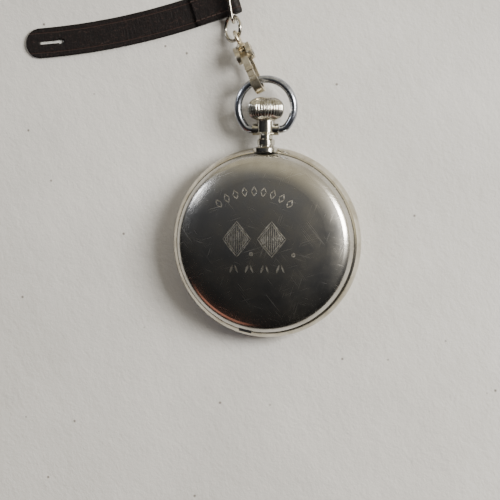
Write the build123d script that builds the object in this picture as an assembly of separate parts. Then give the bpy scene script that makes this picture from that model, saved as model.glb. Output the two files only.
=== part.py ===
"""Open-face pocket watch with swivel clasp, split ring, bail and leather strap.

Millimetres. The watch lies on its crystal: +Z points out of the case back, +Y to the pendant
and +X to the right of the back. The origin is the centre of the crystal's flat face.
"""
from build123d import *
import math
import os

# ---- overall sizes ----
CASE_R = 25.0
COVER_R = 23.5
COVER_TOP = 13.6
COVER_WALL = 0.7
DOME_FLAT_R = 17.0     # where the flat crown of the dome meets its round side
DOME_SLOPE = 8.0       # degrees, dome slope at that radius
DOME_POLE_R = 0.6      # small flat at the middle of the crown
DOME_FOOT_LEAN = 0.06  # inward lean of the dome's foot over its rise
RUN = 0.05            # radial running clearance of shafts and snap fits
SHAKE = 0.06          # axial play between moving faces

# ---- case levels along Z ----
BAND_BOTTOM = 3.95
BAND_TOP = 8.35
SNAP_BACK_R = 22.65
SNAP_BACK_Z = 7.55
SNAP_FRONT_R = 22.95
SNAP_FRONT_Z = 5.05
SNAP_WALL = 0.65
SEAT_R = 22.0
PLATE_R = 21.4
CASE_BORE_R = PLATE_R + 0.1

# ---- crystal and bezel ----
GLASS_FLAT_R = 16.5
GLASS_R = 20.9
GLASS_THICK = 1.3
BEZEL_LOW = 0.0         # rim flush with the flat of the crystal
BEZEL_RIM_OUT = 1.0     # rim's outer and inner edge, outside the crystal
BEZEL_RIM_IN = 0.5
CASE_SCREW_R = 0.45

# ---- pendant, crown, stem ----
STEM_Z = 6.7
STEM_R = 0.6
PENDANT_R = 2.4
PENDANT_TOP = 32.5
BOW_PIVOT_Y = 29.6
BOSS_HALF = 3.45
BOSS_R = 1.55
CROWN_R = 4.7
CROWN_LOW = 31.8
CROWN_TOP = 38.05
CROWN_RIBS = 34
CROWN_TRAVEL = 0.45

# ---- bow ----
BOW_WIRE_R = 1.0
BOW_MID_R = 7.4
BOW_CENTRE_Y = 35.3
BOW_PIN_R = 0.7

# ---- movement levels along Z ----
DIAL_Z = 4.0
DIAL_TOP = 4.5
DIAL_R = 20.8
PLATE_Z = 5.3
PLATE_TOP = 7.3
BARREL_Z = 6.0
BARREL_TOP = 8.0
BRIDGE_Z = 9.1
BRIDGE_TOP = 10.3
TOP_WHEEL_Z = BRIDGE_TOP + SHAKE
TOP_WHEEL_THICK = 0.45
PIVOT_R = 0.16
JEWEL_R = 0.5

# ---- gearing: tooth counts and modules ----
BARREL_TEETH, CENTRE_LEAVES, BARREL_MODULE = 78, 12, 0.22
CENTRE_TEETH, THIRD_LEAVES, CENTRE_MODULE = 80, 10, 0.15
THIRD_TEETH, FOURTH_LEAVES, THIRD_MODULE = 75, 10, 0.14
FOURTH_TEETH, ESCAPE_LEAVES, FOURTH_MODULE = 80, 8, 0.12
CANNON_TEETH, MINUTE_TEETH, MINUTE_MODULE = 12, 36, 0.16
MINUTE_LEAVES, HOUR_TEETH = 10, 40
SETTING_TEETH = 36
CROWN_WHEEL_TEETH, RATCHET_TEETH, TOP_MODULE = 42, 58, 0.2
WINDER_TEETH, CONTRATE_TEETH, WINDER_MODULE = 16, 42, 0.219
ESCAPE_TEETH, ESCAPE_R = 15, 3.0
ADDENDUM, DEDENDUM, TOOTH_SHARE, TIP_SHARE = 0.85, 1.15, 0.42, 0.14

# ---- arbor places in the movement ----
CENTRE_AT = (0.0, 0.0)
CROWN_WHEEL_AT = (0.0, 12.0)
FOURTH_AT = (0.0, -10.5)
BALANCE_AT = (-11.2, -5.0)
BALANCE_R = 6.5
BALANCE_CLEAR_R = 7.3

# ---- swivel clasp, along its own axis from the gate pin ----
SWIVEL_PIN_AT = (-5.70, 48.95, 5.86)
SWIVEL_HEADING = 64.4     # degrees below +X in plan, toward the bow
SWIVEL_RISE = 14.0        # degrees above the table
HOOK_WIDTH = 2.2
HOOK_THICK = 1.1
HOOK_HALF = 2.15          # half of the clear height inside the hook
HOOK_CENTRE_S = 7.85      # where the round end is centred
CHEEK_OUT = 2.25
CHEEK_IN = 0.95
GATE_WIDTH = 1.8
GATE_PIN_R = 0.45
EYE_S = -5.3
EYE_R = 1.7
EYE_WIRE_R = 0.5

# ---- split ring, bail, strap ----
RING_R = 3.2
RING_WIRE_R = 0.48
RING_TILT = -42.0
RING_AT = (-9.55, 56.1, 3.0)
BAIL_WIRE_R = 0.4
BAIL_LOW, BAIL_HIGH = 1.6, 4.25
BAIL_U = 2.1              # along the strap from the fold's outer edge
BAIL_SKEW = 8.1
BAIL_REACH = 0.93  # straight of the bail beyond the strap edge on the ring side
BAIL_REST = 0.5    # and on the far side
STRAP_THICK = 1.0
STRAP_WIDTH = 8.1
STRAP_HEADING = 197.5     # degrees from +X in plan, away from the fold
FOLD_AT = (-8.35, 64.6)  # middle of the fold's outer edge
FLAP_LENGTH = 12.6
STRAP_LENGTH = 58.0
STRAP_TURN_R = 190.0


def point_at(origin, degrees, distance):
    """Point at a distance and angle from another point."""
    turn = math.radians(degrees)
    return origin[0] + distance * math.cos(turn), origin[1] + distance * math.sin(turn)


def heading(start, end):
    """Angle in degrees from one point to another."""
    return math.degrees(math.atan2(end[1] - start[1], end[0] - start[0]))


def third_corner(first, second, from_first, from_second, side):
    """Point at given distances from two others, on the chosen side of their line."""
    apart = math.dist(first, second)
    along = (from_first**2 - from_second**2 + apart**2) / (2 * apart)
    across = side * math.sqrt(from_first**2 - along**2)
    turn = math.radians(heading(first, second))
    return (
        first[0] + along * math.cos(turn) - across * math.sin(turn),
        first[1] + along * math.sin(turn) + across * math.cos(turn),
    )


def pitch_distance(wheel, pinion, module):
    """Distance between two meshed arbors."""
    return (wheel + pinion) * module / 2


BARREL_AT = third_corner(
    CENTRE_AT,
    CROWN_WHEEL_AT,
    pitch_distance(BARREL_TEETH, CENTRE_LEAVES, BARREL_MODULE),
    pitch_distance(CROWN_WHEEL_TEETH, RATCHET_TEETH, TOP_MODULE),
    -1,
)
THIRD_AT = third_corner(
    CENTRE_AT,
    FOURTH_AT,
    pitch_distance(CENTRE_TEETH, THIRD_LEAVES, CENTRE_MODULE),
    pitch_distance(THIRD_TEETH, FOURTH_LEAVES, THIRD_MODULE),
    1,
)
ESCAPE_AT = point_at(FOURTH_AT, 180.0, pitch_distance(FOURTH_TEETH, ESCAPE_LEAVES, FOURTH_MODULE))
FORK_AT = point_at(ESCAPE_AT, heading(ESCAPE_AT, BALANCE_AT), ESCAPE_R / math.cos(math.radians(30)))
MINUTE_AT = (0.0, pitch_distance(CANNON_TEETH, MINUTE_TEETH, MINUTE_MODULE))
HOUR_MODULE = 2 * MINUTE_AT[1] / (MINUTE_LEAVES + HOUR_TEETH)
SETTING_AT = (0.0, MINUTE_AT[1] + pitch_distance(MINUTE_TEETH, SETTING_TEETH, MINUTE_MODULE))
CLICK_AT = point_at(BARREL_AT, -22.0, 8.3)


def save(name, shape):
    """Write one piece to its STEP file."""
    shape.label = name
    export_step(shape, os.path.join("parts", name + ".step"))


def disc(radius, low, high, at=(0.0, 0.0)):
    """Upright cylinder between two levels."""
    base = Plane.XY.offset(low) * Location((at[0], at[1], 0)) * Circle(radius)
    return extrude(base, high - low)


def ring(inner, outer, low, high, at=(0.0, 0.0)):
    """Upright tube between two levels."""
    base = Plane.XY.offset(low) * Location((at[0], at[1], 0)) * (Circle(outer) - Circle(inner))
    return extrude(base, high - low)


def block(x_low, x_high, y_low, y_high, low, high):
    """Box given by its limits."""
    size = (x_high - x_low, y_high - y_low, high - low)
    centre = ((x_low + x_high) / 2, (y_low + y_high) / 2, (low + high) / 2)
    return Location(centre) * Box(*size)


def prism(points, low, high, at=(0.0, 0.0)):
    """Upright prism on a closed polygon."""
    moved = [(x + at[0], y + at[1], low) for x, y in points]
    return extrude(make_face(Polyline(*moved, close=True)), high - low, dir=(0, 0, 1))


def rod(radius, low, high, at=(0.0, 0.0), sides=20):
    """Upright many-sided arbor."""
    points = [point_at((0, 0), 360 * i / sides, radius) for i in range(sides)]
    return prism(points, low, high, at)


def turned(profile):
    """Solid of revolution about Z from a closed (radius, level) outline."""
    points = [(r, 0, z) for r, z in profile]
    return revolve(make_face(Polyline(*points, close=True)), Axis.Z)


def bar(start, end, width, low, high):
    """Straight upright-sided bar between two plan points."""
    length = math.dist(start, end)
    middle = ((start[0] + end[0]) / 2, (start[1] + end[1]) / 2, (low + high) / 2)
    return Location(middle, (0, 0, heading(start, end))) * Box(length, width, high - low)


def along_y(shape, at_y=0.0):
    """Lay a shape built along Z onto the stem's axis, pointing to the pendant."""
    return Location((0, at_y, STEM_Z), (-90, 0, 0)) * shape


def cut_bores(shape, radius, places, low, high):
    """Remove round bores at each place."""
    for place in places:
        shape = shape - disc(radius, low, high, place)
    return shape


# ---- gears ----
def tooth_outline(teeth, module, phase):
    """Plan outline of a gear with straight-sided teeth."""
    pitch = math.tau / teeth
    radius = teeth * module / 2
    root, tip = radius - DEDENDUM * module, radius + ADDENDUM * module
    half_pitch_line = TOOTH_SHARE * pitch / 2
    half_tip = TIP_SHARE * pitch / 2 * radius / tip
    half_root = half_pitch_line + (half_pitch_line - half_tip) * DEDENDUM / ADDENDUM
    half_root = min(half_root, 0.48 * pitch)
    points = []
    for index in range(teeth):
        middle = math.radians(phase) + index * pitch
        corners = ((root, -half_root), (tip, -half_tip), (tip, half_tip), (root, half_root))
        for r, offset in corners:
            points.append((r * math.cos(middle + offset), r * math.sin(middle + offset)))
    return points


def mesh_phase(phase, teeth, at, next_teeth, next_at):
    """Phase of a second gear that puts a gap where the first has a tooth."""
    line = heading(at, next_at)
    share = (phase - line) / (360 / teeth)
    return line + 180 + (0.5 - share) * 360 / next_teeth


def gear(teeth, module, low, high, at, phase):
    """Toothed disc between two levels."""
    return prism(tooth_outline(teeth, module, phase), low, high, at)


def crossed(blank, module, teeth, hub, at, spokes, low, high):
    """Cut the windows between a wheel's spokes."""
    rim = teeth * module / 2 - DEDENDUM * module - 0.55
    half = 0.36
    for index in range(spokes):
        middle = 360 * index / spokes
        spread = 180 / spokes
        points = []
        for r in (hub, rim):
            edge = math.degrees(half / r)
            steps = 2 if r == hub else 5
            span = [(-spread + edge) + 2 * (spread - edge) * k / steps for k in range(steps + 1)]
            if r == rim:
                span.reverse()
            points += [point_at((0, 0), middle + angle, r) for angle in span]
        blank = blank - prism(points, low - 1, high + 1, at)
    return blank


# ---- case ----
def band_curve():
    """Outer side of the band, from the back cover down to the bezel."""
    start, end = (COVER_R + 0.15, 0, BAND_TOP), (CASE_R - 0.45, 0, BAND_BOTTOM)
    return ThreePointArc(start, (CASE_R - 0.06, 0, 6.3), end)


def band_solid():
    """Band filled to its middle, to trim what is seated on it."""
    inner = Polyline((CASE_R - 0.45, 0, BAND_BOTTOM), (0, 0, BAND_BOTTOM), (0, 0, BAND_TOP), (COVER_R + 0.15, 0, BAND_TOP))
    return revolve(make_face(band_curve() + inner), Axis.Z)


def make_case_middle():
    """Band with snap seats front and back, stem hole and pendant seat."""
    outer = band_curve()
    inner = Polyline(
        (CASE_R - 0.45, 0, BAND_BOTTOM),
        (SNAP_FRONT_R, 0, BAND_BOTTOM),
        (SNAP_FRONT_R, 0, SNAP_FRONT_Z),
        (SEAT_R, 0, SNAP_FRONT_Z),
        (SEAT_R, 0, PLATE_Z + 0.5),
        (CASE_BORE_R, 0, PLATE_Z + 0.5),
        (CASE_BORE_R, 0, SNAP_BACK_Z),
        (SNAP_BACK_R, 0, SNAP_BACK_Z),
        (SNAP_BACK_R, 0, BAND_TOP),
        (COVER_R + 0.15, 0, BAND_TOP),
    )
    band = revolve(make_face(outer + inner), Axis.Z)
    band = band - along_y(disc(STEM_R + 0.15, 0, 10), 20)
    return cut_bores(band, CASE_SCREW_R, case_screw_places(), PLATE_TOP - 1.2, SNAP_BACK_Z)


def biarc(start, start_way, end, end_way):
    """Two arcs that leave start along one direction and reach end along another."""
    way = start_way + end_way
    chord = end - start
    turn = 2 * (1 - start_way.dot(end_way))
    along = chord.dot(way)
    reach = (math.sqrt(along**2 + turn * chord.dot(chord)) - along) / turn
    middle = (start + start_way * reach + end - end_way * reach) * 0.5
    return [TangentArc(start, middle, tangent=start_way), TangentArc(end, middle, tangent=end_way * -1)]


def cover_curve(drop):
    """Dome line of the back cover, lowered and drawn in by the wall: round side, ball crown, small flat."""
    slope = math.radians(DOME_SLOPE)
    ball_r = DOME_FLAT_R / math.sin(slope)
    flat = math.asin(DOME_POLE_R / ball_r)

    def on_ball(angle):
        return Vector(ball_r * math.sin(angle), 0, COVER_TOP - drop - ball_r * (math.cos(flat) - math.cos(angle)))

    join, pole = on_ball(slope), on_ball(flat)
    foot = Vector(COVER_R - drop, 0, BAND_TOP + RUN)
    foot_way = Vector(-DOME_FOOT_LEAN, 0, 1).normalized()
    side = biarc(foot, foot_way, join, Vector(-math.cos(slope), 0, math.sin(slope)))
    crown = ThreePointArc(join, on_ball((slope + flat) / 2), pole)
    return [*side, crown, Line(pole, (0, 0, pole.Z))]


def make_back_cover():
    """Domed snap back with skirt and opening lip."""
    outer = cover_curve(0)
    inner = cover_curve(COVER_WALL)
    low = BAND_TOP + RUN
    edge = Line((COVER_R, 0, low), (COVER_R - COVER_WALL, 0, low))
    middle = Line((0, 0, COVER_TOP), (0, 0, COVER_TOP - COVER_WALL))
    dome = revolve(make_face([*outer, middle, *inner, edge]), Axis.Z)
    skirt_out = SNAP_BACK_R - RUN
    skirt = ring(skirt_out - SNAP_WALL, skirt_out, SNAP_BACK_Z + RUN, low + 0.3)
    shelf = ring(skirt_out - SNAP_WALL, COVER_R - 0.3, low, low + 0.3)
    lip = Location((0, 0, 0), (0, 0, -102.6)) * block(COVER_R - 0.4, COVER_R + 0.55, -1.7, 1.7, low, low + 0.35)
    return dome + skirt + shelf + lip


def make_bezel():
    """Front ring that holds the crystal and snaps into the band."""
    top = BAND_BOTTOM - RUN
    outer = ThreePointArc((CASE_R - 0.5, 0, top), (CASE_R - 1.2, 0, 1.6), (GLASS_R + BEZEL_RIM_OUT, 0, BEZEL_LOW))
    inner = Polyline(
        (GLASS_R + BEZEL_RIM_OUT, 0, BEZEL_LOW),
        (GLASS_R + BEZEL_RIM_IN, 0, BEZEL_LOW),
        (GLASS_R, 0, 1.75),
        (GLASS_R, 0, 3.3),
        (GLASS_R - 0.6, 0, 3.3),
        (GLASS_R - 0.6, 0, top),
        (SNAP_FRONT_R - RUN - SNAP_WALL, 0, top),
        (SNAP_FRONT_R - RUN - SNAP_WALL, 0, SNAP_FRONT_Z - RUN),
        (SNAP_FRONT_R - RUN, 0, SNAP_FRONT_Z - RUN),
        (SNAP_FRONT_R - RUN, 0, top),
        (CASE_R - 0.5, 0, top),
    )
    return revolve(make_face(outer + inner), Axis.Z)


def make_crystal():
    """Flat-topped glass with a rounded shoulder."""
    outer = Line((0, 0, 0), (GLASS_FLAT_R, 0, 0))
    shoulder = Spline((GLASS_FLAT_R, 0, 0), (GLASS_R, 0, 2.3), tangents=[(1, 0, 0), (0.25, 0, 1)])
    back = Polyline((GLASS_R, 0, 2.3), (GLASS_R, 0, 3.3), (GLASS_R - 1.0, 0, 3.3), (GLASS_R - 1.3, 0, 2.5))
    inside = ThreePointArc(
        (GLASS_R - 1.3, 0, 2.5), (18.3, 0, 1.75), (GLASS_FLAT_R - 0.6, 0, GLASS_THICK)
    )
    close = Polyline((GLASS_FLAT_R - 0.6, 0, GLASS_THICK), (0, 0, GLASS_THICK), (0, 0, 0))
    return revolve(make_face(outer + shoulder + back + inside + close), Axis.Z)


def case_screw_places():
    """Plan points of the two screws that hold the movement in the band."""
    return [point_at((0, 0), angle, PLATE_R) for angle in (62.0, 242.0)]


def screw(at, head_r, head_low, head_high, shank_r, shank_low):
    """Slotted screw, head up."""
    body = disc(head_r, head_low, head_high, at) + disc(shank_r, shank_low, head_low, at)
    return body - bar((at[0] - head_r, at[1]), (at[0] + head_r, at[1]), 0.25, head_high - 0.18, head_high + 1)


# ---- pendant, crown, stem, bow ----
def make_pendant():
    """Pendant tube with foot, collar, neck and the two bow bosses."""
    profile = [
        (STEM_R + 0.9, 23.4), (3.35, 23.4), (3.35, 24.75), (2.75, 25.0), (2.05, 25.2), (2.05, 25.45),
        (2.3, 25.6), (2.3, 26.8), (2.05, 27.0), (1.8, 27.2), (1.8, 28.2), (2.1, 28.6),
        (PENDANT_R, 28.9), (PENDANT_R, PENDANT_TOP), (STEM_R + 0.9, PENDANT_TOP),
    ]
    tube = along_y(turned(profile))
    boss = Location((0, BOW_PIVOT_Y, STEM_Z), (0, 90, 0)) * Cylinder(BOSS_R, 2 * BOSS_HALF)
    bore = Location((0, BOW_PIVOT_Y, STEM_Z), (0, 90, 0)) * Cylinder(BOW_PIN_R + RUN, 3 * BOSS_HALF)
    core = along_y(disc(STEM_R + 0.9, 20, 40))
    boss = boss - core
    body = tube + boss
    body = body - bore
    body = body - band_solid() - disc(CASE_R - 1.2, -5, 30)
    return body - block(-5, 5, 20, CASE_R + 0.3, -5, BAND_BOTTOM + 0.03)


def make_stem_sleeve():
    """Bearing tube of the stem, fixed in the pendant and the band."""
    sleeve = along_y(ring(STEM_R + RUN, STEM_R + 0.9, CASE_R - 0.5, BOW_PIVOT_Y - BOW_PIN_R - 0.2))
    return sleeve - band_solid()


def onion_radius(y):
    """Crown radius at a level along the stem."""
    middle, half = (CROWN_TOP + CROWN_LOW) / 2, (CROWN_TOP - CROWN_LOW) / 2
    share = min(1.0, abs(y - middle) / (half + 0.35))
    return CROWN_R * (1 - share**2.6) ** (1 / 2.3)


def make_crown():
    """Ribbed ball crown, hollow over the pendant."""
    levels = [CROWN_LOW + (CROWN_TOP - CROWN_LOW) * i / 12 for i in range(13)]
    outline = [(onion_radius(y), y) for y in levels]
    core = turned([(0, CROWN_LOW)] + [(r - 0.28, y) for r, y in outline] + [(0, CROWN_TOP)])
    rib_face = make_face(
        Polyline(*[(r, 0, y) for r, y in [(2.0, CROWN_LOW)] + outline + [(1.0, CROWN_TOP)]], close=True)
    )
    rib = extrude(rib_face, 0.22, dir=(0, 1, 0), both=True)
    ribs = [Location((0, 0, 0), (0, 0, 360 * i / CROWN_RIBS)) * rib for i in range(CROWN_RIBS)]
    body = core.fuse(*ribs)
    cavity = disc(PENDANT_R + 0.15, CROWN_LOW - 1, 34.3) + disc(STEM_R, 34.3, 36.2)
    body = body - cavity
    return along_y(body)


def make_crown_gasket():
    """Washer on the stem inside the crown, which travels with it."""
    return along_y(ring(STEM_R + RUN, 2.2, PENDANT_TOP + 0.15, 34.3 - SHAKE))


def make_winding_stem():
    """Stem: crown end, journal, square for the clutch, groove and inner pilot."""
    profile = [
        (0, 11.3), (0.42, 11.3), (0.42, 17.9), (STEM_R, 17.9), (STEM_R, 18.6), (0.35, 18.6),
        (0.35, 19.3), (STEM_R, 19.3), (STEM_R, 36.2), (0, 36.2),
    ]
    square = block(-0.42, 0.42, -0.42, 0.42, 13.0, 15.7)
    return along_y(turned(profile) + square)


def bow_path():
    """Right half of the bow's centre line, from its middle to the boss."""
    low = math.radians(-38)
    turn_in = (BOW_MID_R * math.cos(low), BOW_CENTRE_Y + BOW_MID_R * math.sin(low))
    middle = math.radians(26)
    arc = ThreePointArc(
        (0, BOW_CENTRE_Y + BOW_MID_R, STEM_Z),
        (BOW_MID_R * math.cos(middle), BOW_CENTRE_Y + BOW_MID_R * math.sin(middle), STEM_Z),
        (turn_in[0], turn_in[1], STEM_Z),
    )
    foot = Spline(
        (turn_in[0], turn_in[1], STEM_Z),
        (BOSS_HALF + 0.15, BOW_PIVOT_Y, STEM_Z),
        tangents=[(math.sin(low), -math.cos(low), 0), (-1, 0, 0)],
    )
    return arc + foot


def make_bow():
    """Round wire bow whose ends turn in as pivot pins."""
    path = bow_path()
    half = sweep(Plane(origin=path @ 0, z_dir=path % 0) * Circle(BOW_WIRE_R), path=path)
    pin = Location((0, BOW_PIVOT_Y, STEM_Z), (0, 90, 0)) * Location((0, 0, 3.55)) * Cylinder(BOW_PIN_R, 1.6)
    half = half + pin
    return half + mirror(half, Plane.YZ)


# ---- swivel clasp, ring, bail, strap ----
def swivel_plane():
    """Frame of the swivel: X along it toward the bow, Y across, Z up."""
    turn, rise = math.radians(SWIVEL_HEADING), math.radians(SWIVEL_RISE)
    along = (math.cos(turn) * math.cos(rise), -math.sin(turn) * math.cos(rise), math.sin(rise))
    up = (-math.cos(turn) * math.sin(rise), math.sin(turn) * math.sin(rise), math.cos(rise))
    return Plane(origin=SWIVEL_PIN_AT, x_dir=along, z_dir=up)


def side_plate(points, y_low, y_high):
    """Plate cut from an outline in the swivel's upright plane."""
    outline = [(s, y_low, w) for s, w in points]
    return extrude(make_face(Polyline(*outline, close=True)), y_high - y_low, dir=(0, 1, 0))


def hook_outline(radius, start, end):
    """Points of a round end about the hook's centre, from start to end angle."""
    return [
        (HOOK_CENTRE_S + radius * math.cos(math.radians(a)), radius * math.sin(math.radians(a)))
        for a in range(start, end + 1, 10)
    ]


def lip_cut(offset):
    """Sloping line between the hook's lip and the gate's end."""
    return (7.15 + offset, HOOK_HALF + HOOK_THICK), (7.95 + offset, HOOK_HALF - 0.05)


def make_swivel_hook():
    """Hook frame: arm, round end with lip, two cheeks and a base for the turning eye."""
    outer, inner = HOOK_HALF + HOOK_THICK, HOOK_HALF
    lip_top, lip_low = lip_cut(0.08)
    points = [(0.6, -1.0), (0.0, -1.7), (1.6, -outer)] + hook_outline(outer, -90, 90)
    points += [lip_top, lip_low] + hook_outline(inner, -90, 80)[::-1] + [(2.1, -inner), (1.3, -1.2)]
    arm = side_plate(points, -HOOK_WIDTH / 2, HOOK_WIDTH / 2)
    for low, high in ((-CHEEK_OUT, -CHEEK_IN), (CHEEK_IN, CHEEK_OUT)):
        cheek = Location((0, (low + high) / 2, 0), (90, 0, 0)) * Cylinder(1.75, high - low)
        cheek = cheek + block(-2.6, 0, low, high, -1.5, 1.5)
        arm = arm + cheek
    base = Location((-2.25, 0, 0), (0, 90, 0)) * Cylinder(2.0, 0.7)
    arm = arm + base
    slot = block(-1.9, 1.35, -CHEEK_IN, CHEEK_IN, -1.4, 4)
    eye_bore = Location((-2.3, 0, 0), (0, 90, 0)) * Cylinder(0.6 + RUN, 1.6)
    pin_bore = Location((0, 0, 0), (90, 0, 0)) * Cylinder(GATE_PIN_R, 6)
    arm = arm - slot - eye_bore - pin_bore
    return swivel_plane().location * arm


def make_swivel_gate():
    """Sprung gate with a thumb tab, turning on the pin between the cheeks."""
    outer, inner = HOOK_HALF + HOOK_THICK, HOOK_HALF
    top, low = lip_cut(-0.02)
    points = [(-0.4, 1.15), (1.5, outer), top, low, (2.2, inner), (1.1, 0.6)]
    leaf = side_plate(points, -GATE_WIDTH / 2, GATE_WIDTH / 2)
    root = Location((0, 0, 0), (90, 0, 0)) * Cylinder(1.2, GATE_WIDTH)
    tab = block(4.6, 5.5, -GATE_WIDTH / 2, GATE_WIDTH / 2 + 0.25, outer - 0.2, outer + 0.45)
    bore = Location((0, 0, 0), (90, 0, 0)) * Cylinder(GATE_PIN_R + RUN, 6)
    return swivel_plane().location * (leaf + root + tab - bore)


def make_gate_pin():
    """Riveted pin through both cheeks."""
    pin = Location((0, 0, 0), (90, 0, 0)) * Cylinder(GATE_PIN_R, 2 * CHEEK_OUT)
    heads = [
        Location((0, side * (CHEEK_OUT + 0.08), 0), (90, 0, 0)) * Cylinder(0.75, 0.16) for side in (-1, 1)
    ]
    return swivel_plane().location * (pin + heads[0] + heads[1])


def make_gate_spring():
    """Leaf spring under the gate, seated on the hook's base."""
    points = [(-1.9, -1.4), (-1.6, -1.4), (0.9, -1.4), (1.5, -0.5), (1.38, -0.42), (0.8, -1.26), (-1.9, -1.26)]
    leaf = side_plate(points, -0.5, 0.5)
    return swivel_plane().location * leaf


def make_swivel_shank():
    """Eye with a tapering shank and riveted stub that turns in the hook's base."""
    eye = Location((EYE_S, 0, 0), (90, 0, 0)) * Torus(EYE_R, EYE_WIRE_R)
    taper = turned([(0, -1.2), (0.62, -1.2), (1.35, -0.35), (1.35, 0), (0, 0)])
    taper = Location((-2.6 - SHAKE, 0, 0), (0, 90, 0)) * taper
    trim = Location((EYE_S, 0, 0), (90, 0, 0)) * Cylinder(EYE_R, 6)
    stub = Location((-2.2, 0, 0), (0, 90, 0)) * Cylinder(0.6, 1.0)
    head = Location((-1.9 + SHAKE + 0.22, 0, 0), (0, 90, 0)) * Cylinder(0.88, 0.44)
    return swivel_plane().location * (eye + (taper - trim) + stub + head)


def make_jump_ring():
    """Tilted split ring that links the swivel's eye to the bail."""
    hoop = Torus(RING_R, RING_WIRE_R)
    split = Location((0, RING_R, 0), (0, 0, 8)) * Box(0.12, 3, 3)
    return Location(RING_AT, (0, RING_TILT, 0)) * (hoop - Location((0, 0, 0), (0, 0, 205)) * split)


def strap_plane():
    """Frame of the strap's folded part: X away from the fold, Y across, Z up."""
    turn = math.radians(STRAP_HEADING)
    return Plane(origin=(FOLD_AT[0], FOLD_AT[1], 0), x_dir=(math.cos(turn), math.sin(turn), 0), z_dir=(0, 0, 1))


def fold_outline():
    """Side outline of the leather: lower layer, round fold over the bail and the flap."""
    outer, inner = 1.55, 0.55
    eye = outer + 0.0
    points = [(FLAP_LENGTH, 0.02), (eye, 0.02)]
    points += [(eye + outer * math.cos(math.radians(a)), 0.02 + outer + outer * math.sin(math.radians(a)))
               for a in range(-105, -271, -15)]
    points += [(eye + 2.3, 0.02 + 2 * outer - 0.12), (eye + 4.6, 0.02 + 2 * STRAP_THICK + 0.12),
               (FLAP_LENGTH, 0.02 + 2 * STRAP_THICK + 0.02), (FLAP_LENGTH, 0.02 + STRAP_THICK + 0.02),
               (eye + 4.4, 0.02 + STRAP_THICK + 0.02), (eye + 2.0, 0.02 + outer + inner - 0.1)]
    points += [(eye + inner * math.cos(math.radians(a)), 0.02 + outer + inner * math.sin(math.radians(a)))
               for a in range(90, 271, 15)]
    points += [(eye + 2.0, 0.02 + STRAP_THICK), (FLAP_LENGTH, 0.02 + STRAP_THICK)]
    return points


def strap_edge(offset, count):
    """Points along the plain part of the strap, to one side of its middle."""
    swing = STRAP_TURN_R - offset
    span = (STRAP_LENGTH - FLAP_LENGTH) / STRAP_TURN_R
    return [
        (FLAP_LENGTH - 2.0 + swing * math.sin(span * k / count), swing * math.cos(span * k / count) - STRAP_TURN_R)
        for k in range(count + 1)
    ]


def make_strap():
    """Leather strap folded over the bail, with a rounded tip and a button slit."""
    half = STRAP_WIDTH / 2
    folded = extrude(
        make_face(Polyline(*[(u, -half, z) for u, z in fold_outline()], close=True)),
        STRAP_WIDTH, dir=(0, 1, 0),
    )
    near, far = strap_edge(half, 16), strap_edge(-half, 16)
    plan = [(x, y, 0.02) for x, y in near + far[::-1]]
    tail = extrude(make_face(Polyline(*plan, close=True)), STRAP_THICK, dir=(0, 0, 1))
    tip = ((near[-1][0] + far[-1][0]) / 2, (near[-1][1] + far[-1][1]) / 2)
    turn = math.degrees((STRAP_LENGTH - FLAP_LENGTH) / STRAP_TURN_R)
    round_end = Location((tip[0], tip[1], 0.02 + STRAP_THICK / 2)) * Cylinder(half, STRAP_THICK)
    button = Location((tip[0], tip[1], 0.5), (0, 0, -turn))
    slit = button * Location((-2.5, 0, 0)) * Box(6.0, 0.5, 3)
    hole = button * Location((-5.5, 0, 0)) * Cylinder(0.9, 3)
    body = folded + tail + round_end - slit - hole
    return strap_plane().location * body - make_strap_stitches()


def make_strap_stitches():
    """Thread stitches that close the fold, along both edges of the flap."""
    thread = None
    for side in (-1, 1):
        for index in range(5):
            start = 4.6 + 1.0 + index * 1.5
            top = 0.02 + 2 * STRAP_THICK + 0.02 + (0.1 * (FLAP_LENGTH - start) / 6.4)
            one = block(start, start + 1.0, side * 2.65 - 0.14, side * 2.65 + 0.14, 0.5, top + 0.14)
            thread = one if thread is None else thread + one
    return strap_plane().location * thread


def bail_centre_line():
    """Upright oval around the flap's fold, seen along the strap."""
    low, high = BAIL_LOW, BAIL_HIGH
    half = STRAP_WIDTH / 2
    radius = (high - low) / 2
    start, end = half + BAIL_REACH, -half - BAIL_REST
    middle = (low + high) / 2
    return [
        Line((0, end, low), (0, start, low)),
        ThreePointArc((0, start, low), (0, start + radius, middle), (0, start, high)),
        Line((0, start, high), (0, end, high)),
        ThreePointArc((0, end, high), (0, end - radius, middle), (0, end, low)),
    ]


def make_bail():
    """Wire bail through the fold, long enough to reach the split ring."""
    path = Wire(bail_centre_line())
    body = sweep(Plane(origin=path @ 0, z_dir=path % 0) * Circle(BAIL_WIRE_R), path=path)
    return strap_plane().location * Location((BAIL_U, 0, 0), (0, 0, -BAIL_SKEW)) * body


# ---- dial and hands ----
def make_dial():
    """Dial with sunk seconds, bores for the hands and three feet."""
    dial = disc(DIAL_R, DIAL_Z, DIAL_TOP)
    dial = dial - disc(4.7, DIAL_Z - 1, DIAL_Z + 0.15, FOURTH_AT)
    dial = dial - disc(1.25, DIAL_Z - 1, DIAL_TOP + 1) - disc(0.35, DIAL_Z - 1, DIAL_TOP + 1, FOURTH_AT)
    for angle in (100.0, 215.0, 325.0):
        dial = dial + disc(0.45, DIAL_TOP, PLATE_Z + 0.7, point_at((0, 0), angle, 19.2))
    return dial


NUMERALS = ("XII", "I", "II", "III", "IIII", "V", "VI", "VII", "VIII", "IX", "X", "XI")
STROKE_GAP = {"I": 0.85, "V": 1.9, "X": 1.9}


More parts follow.
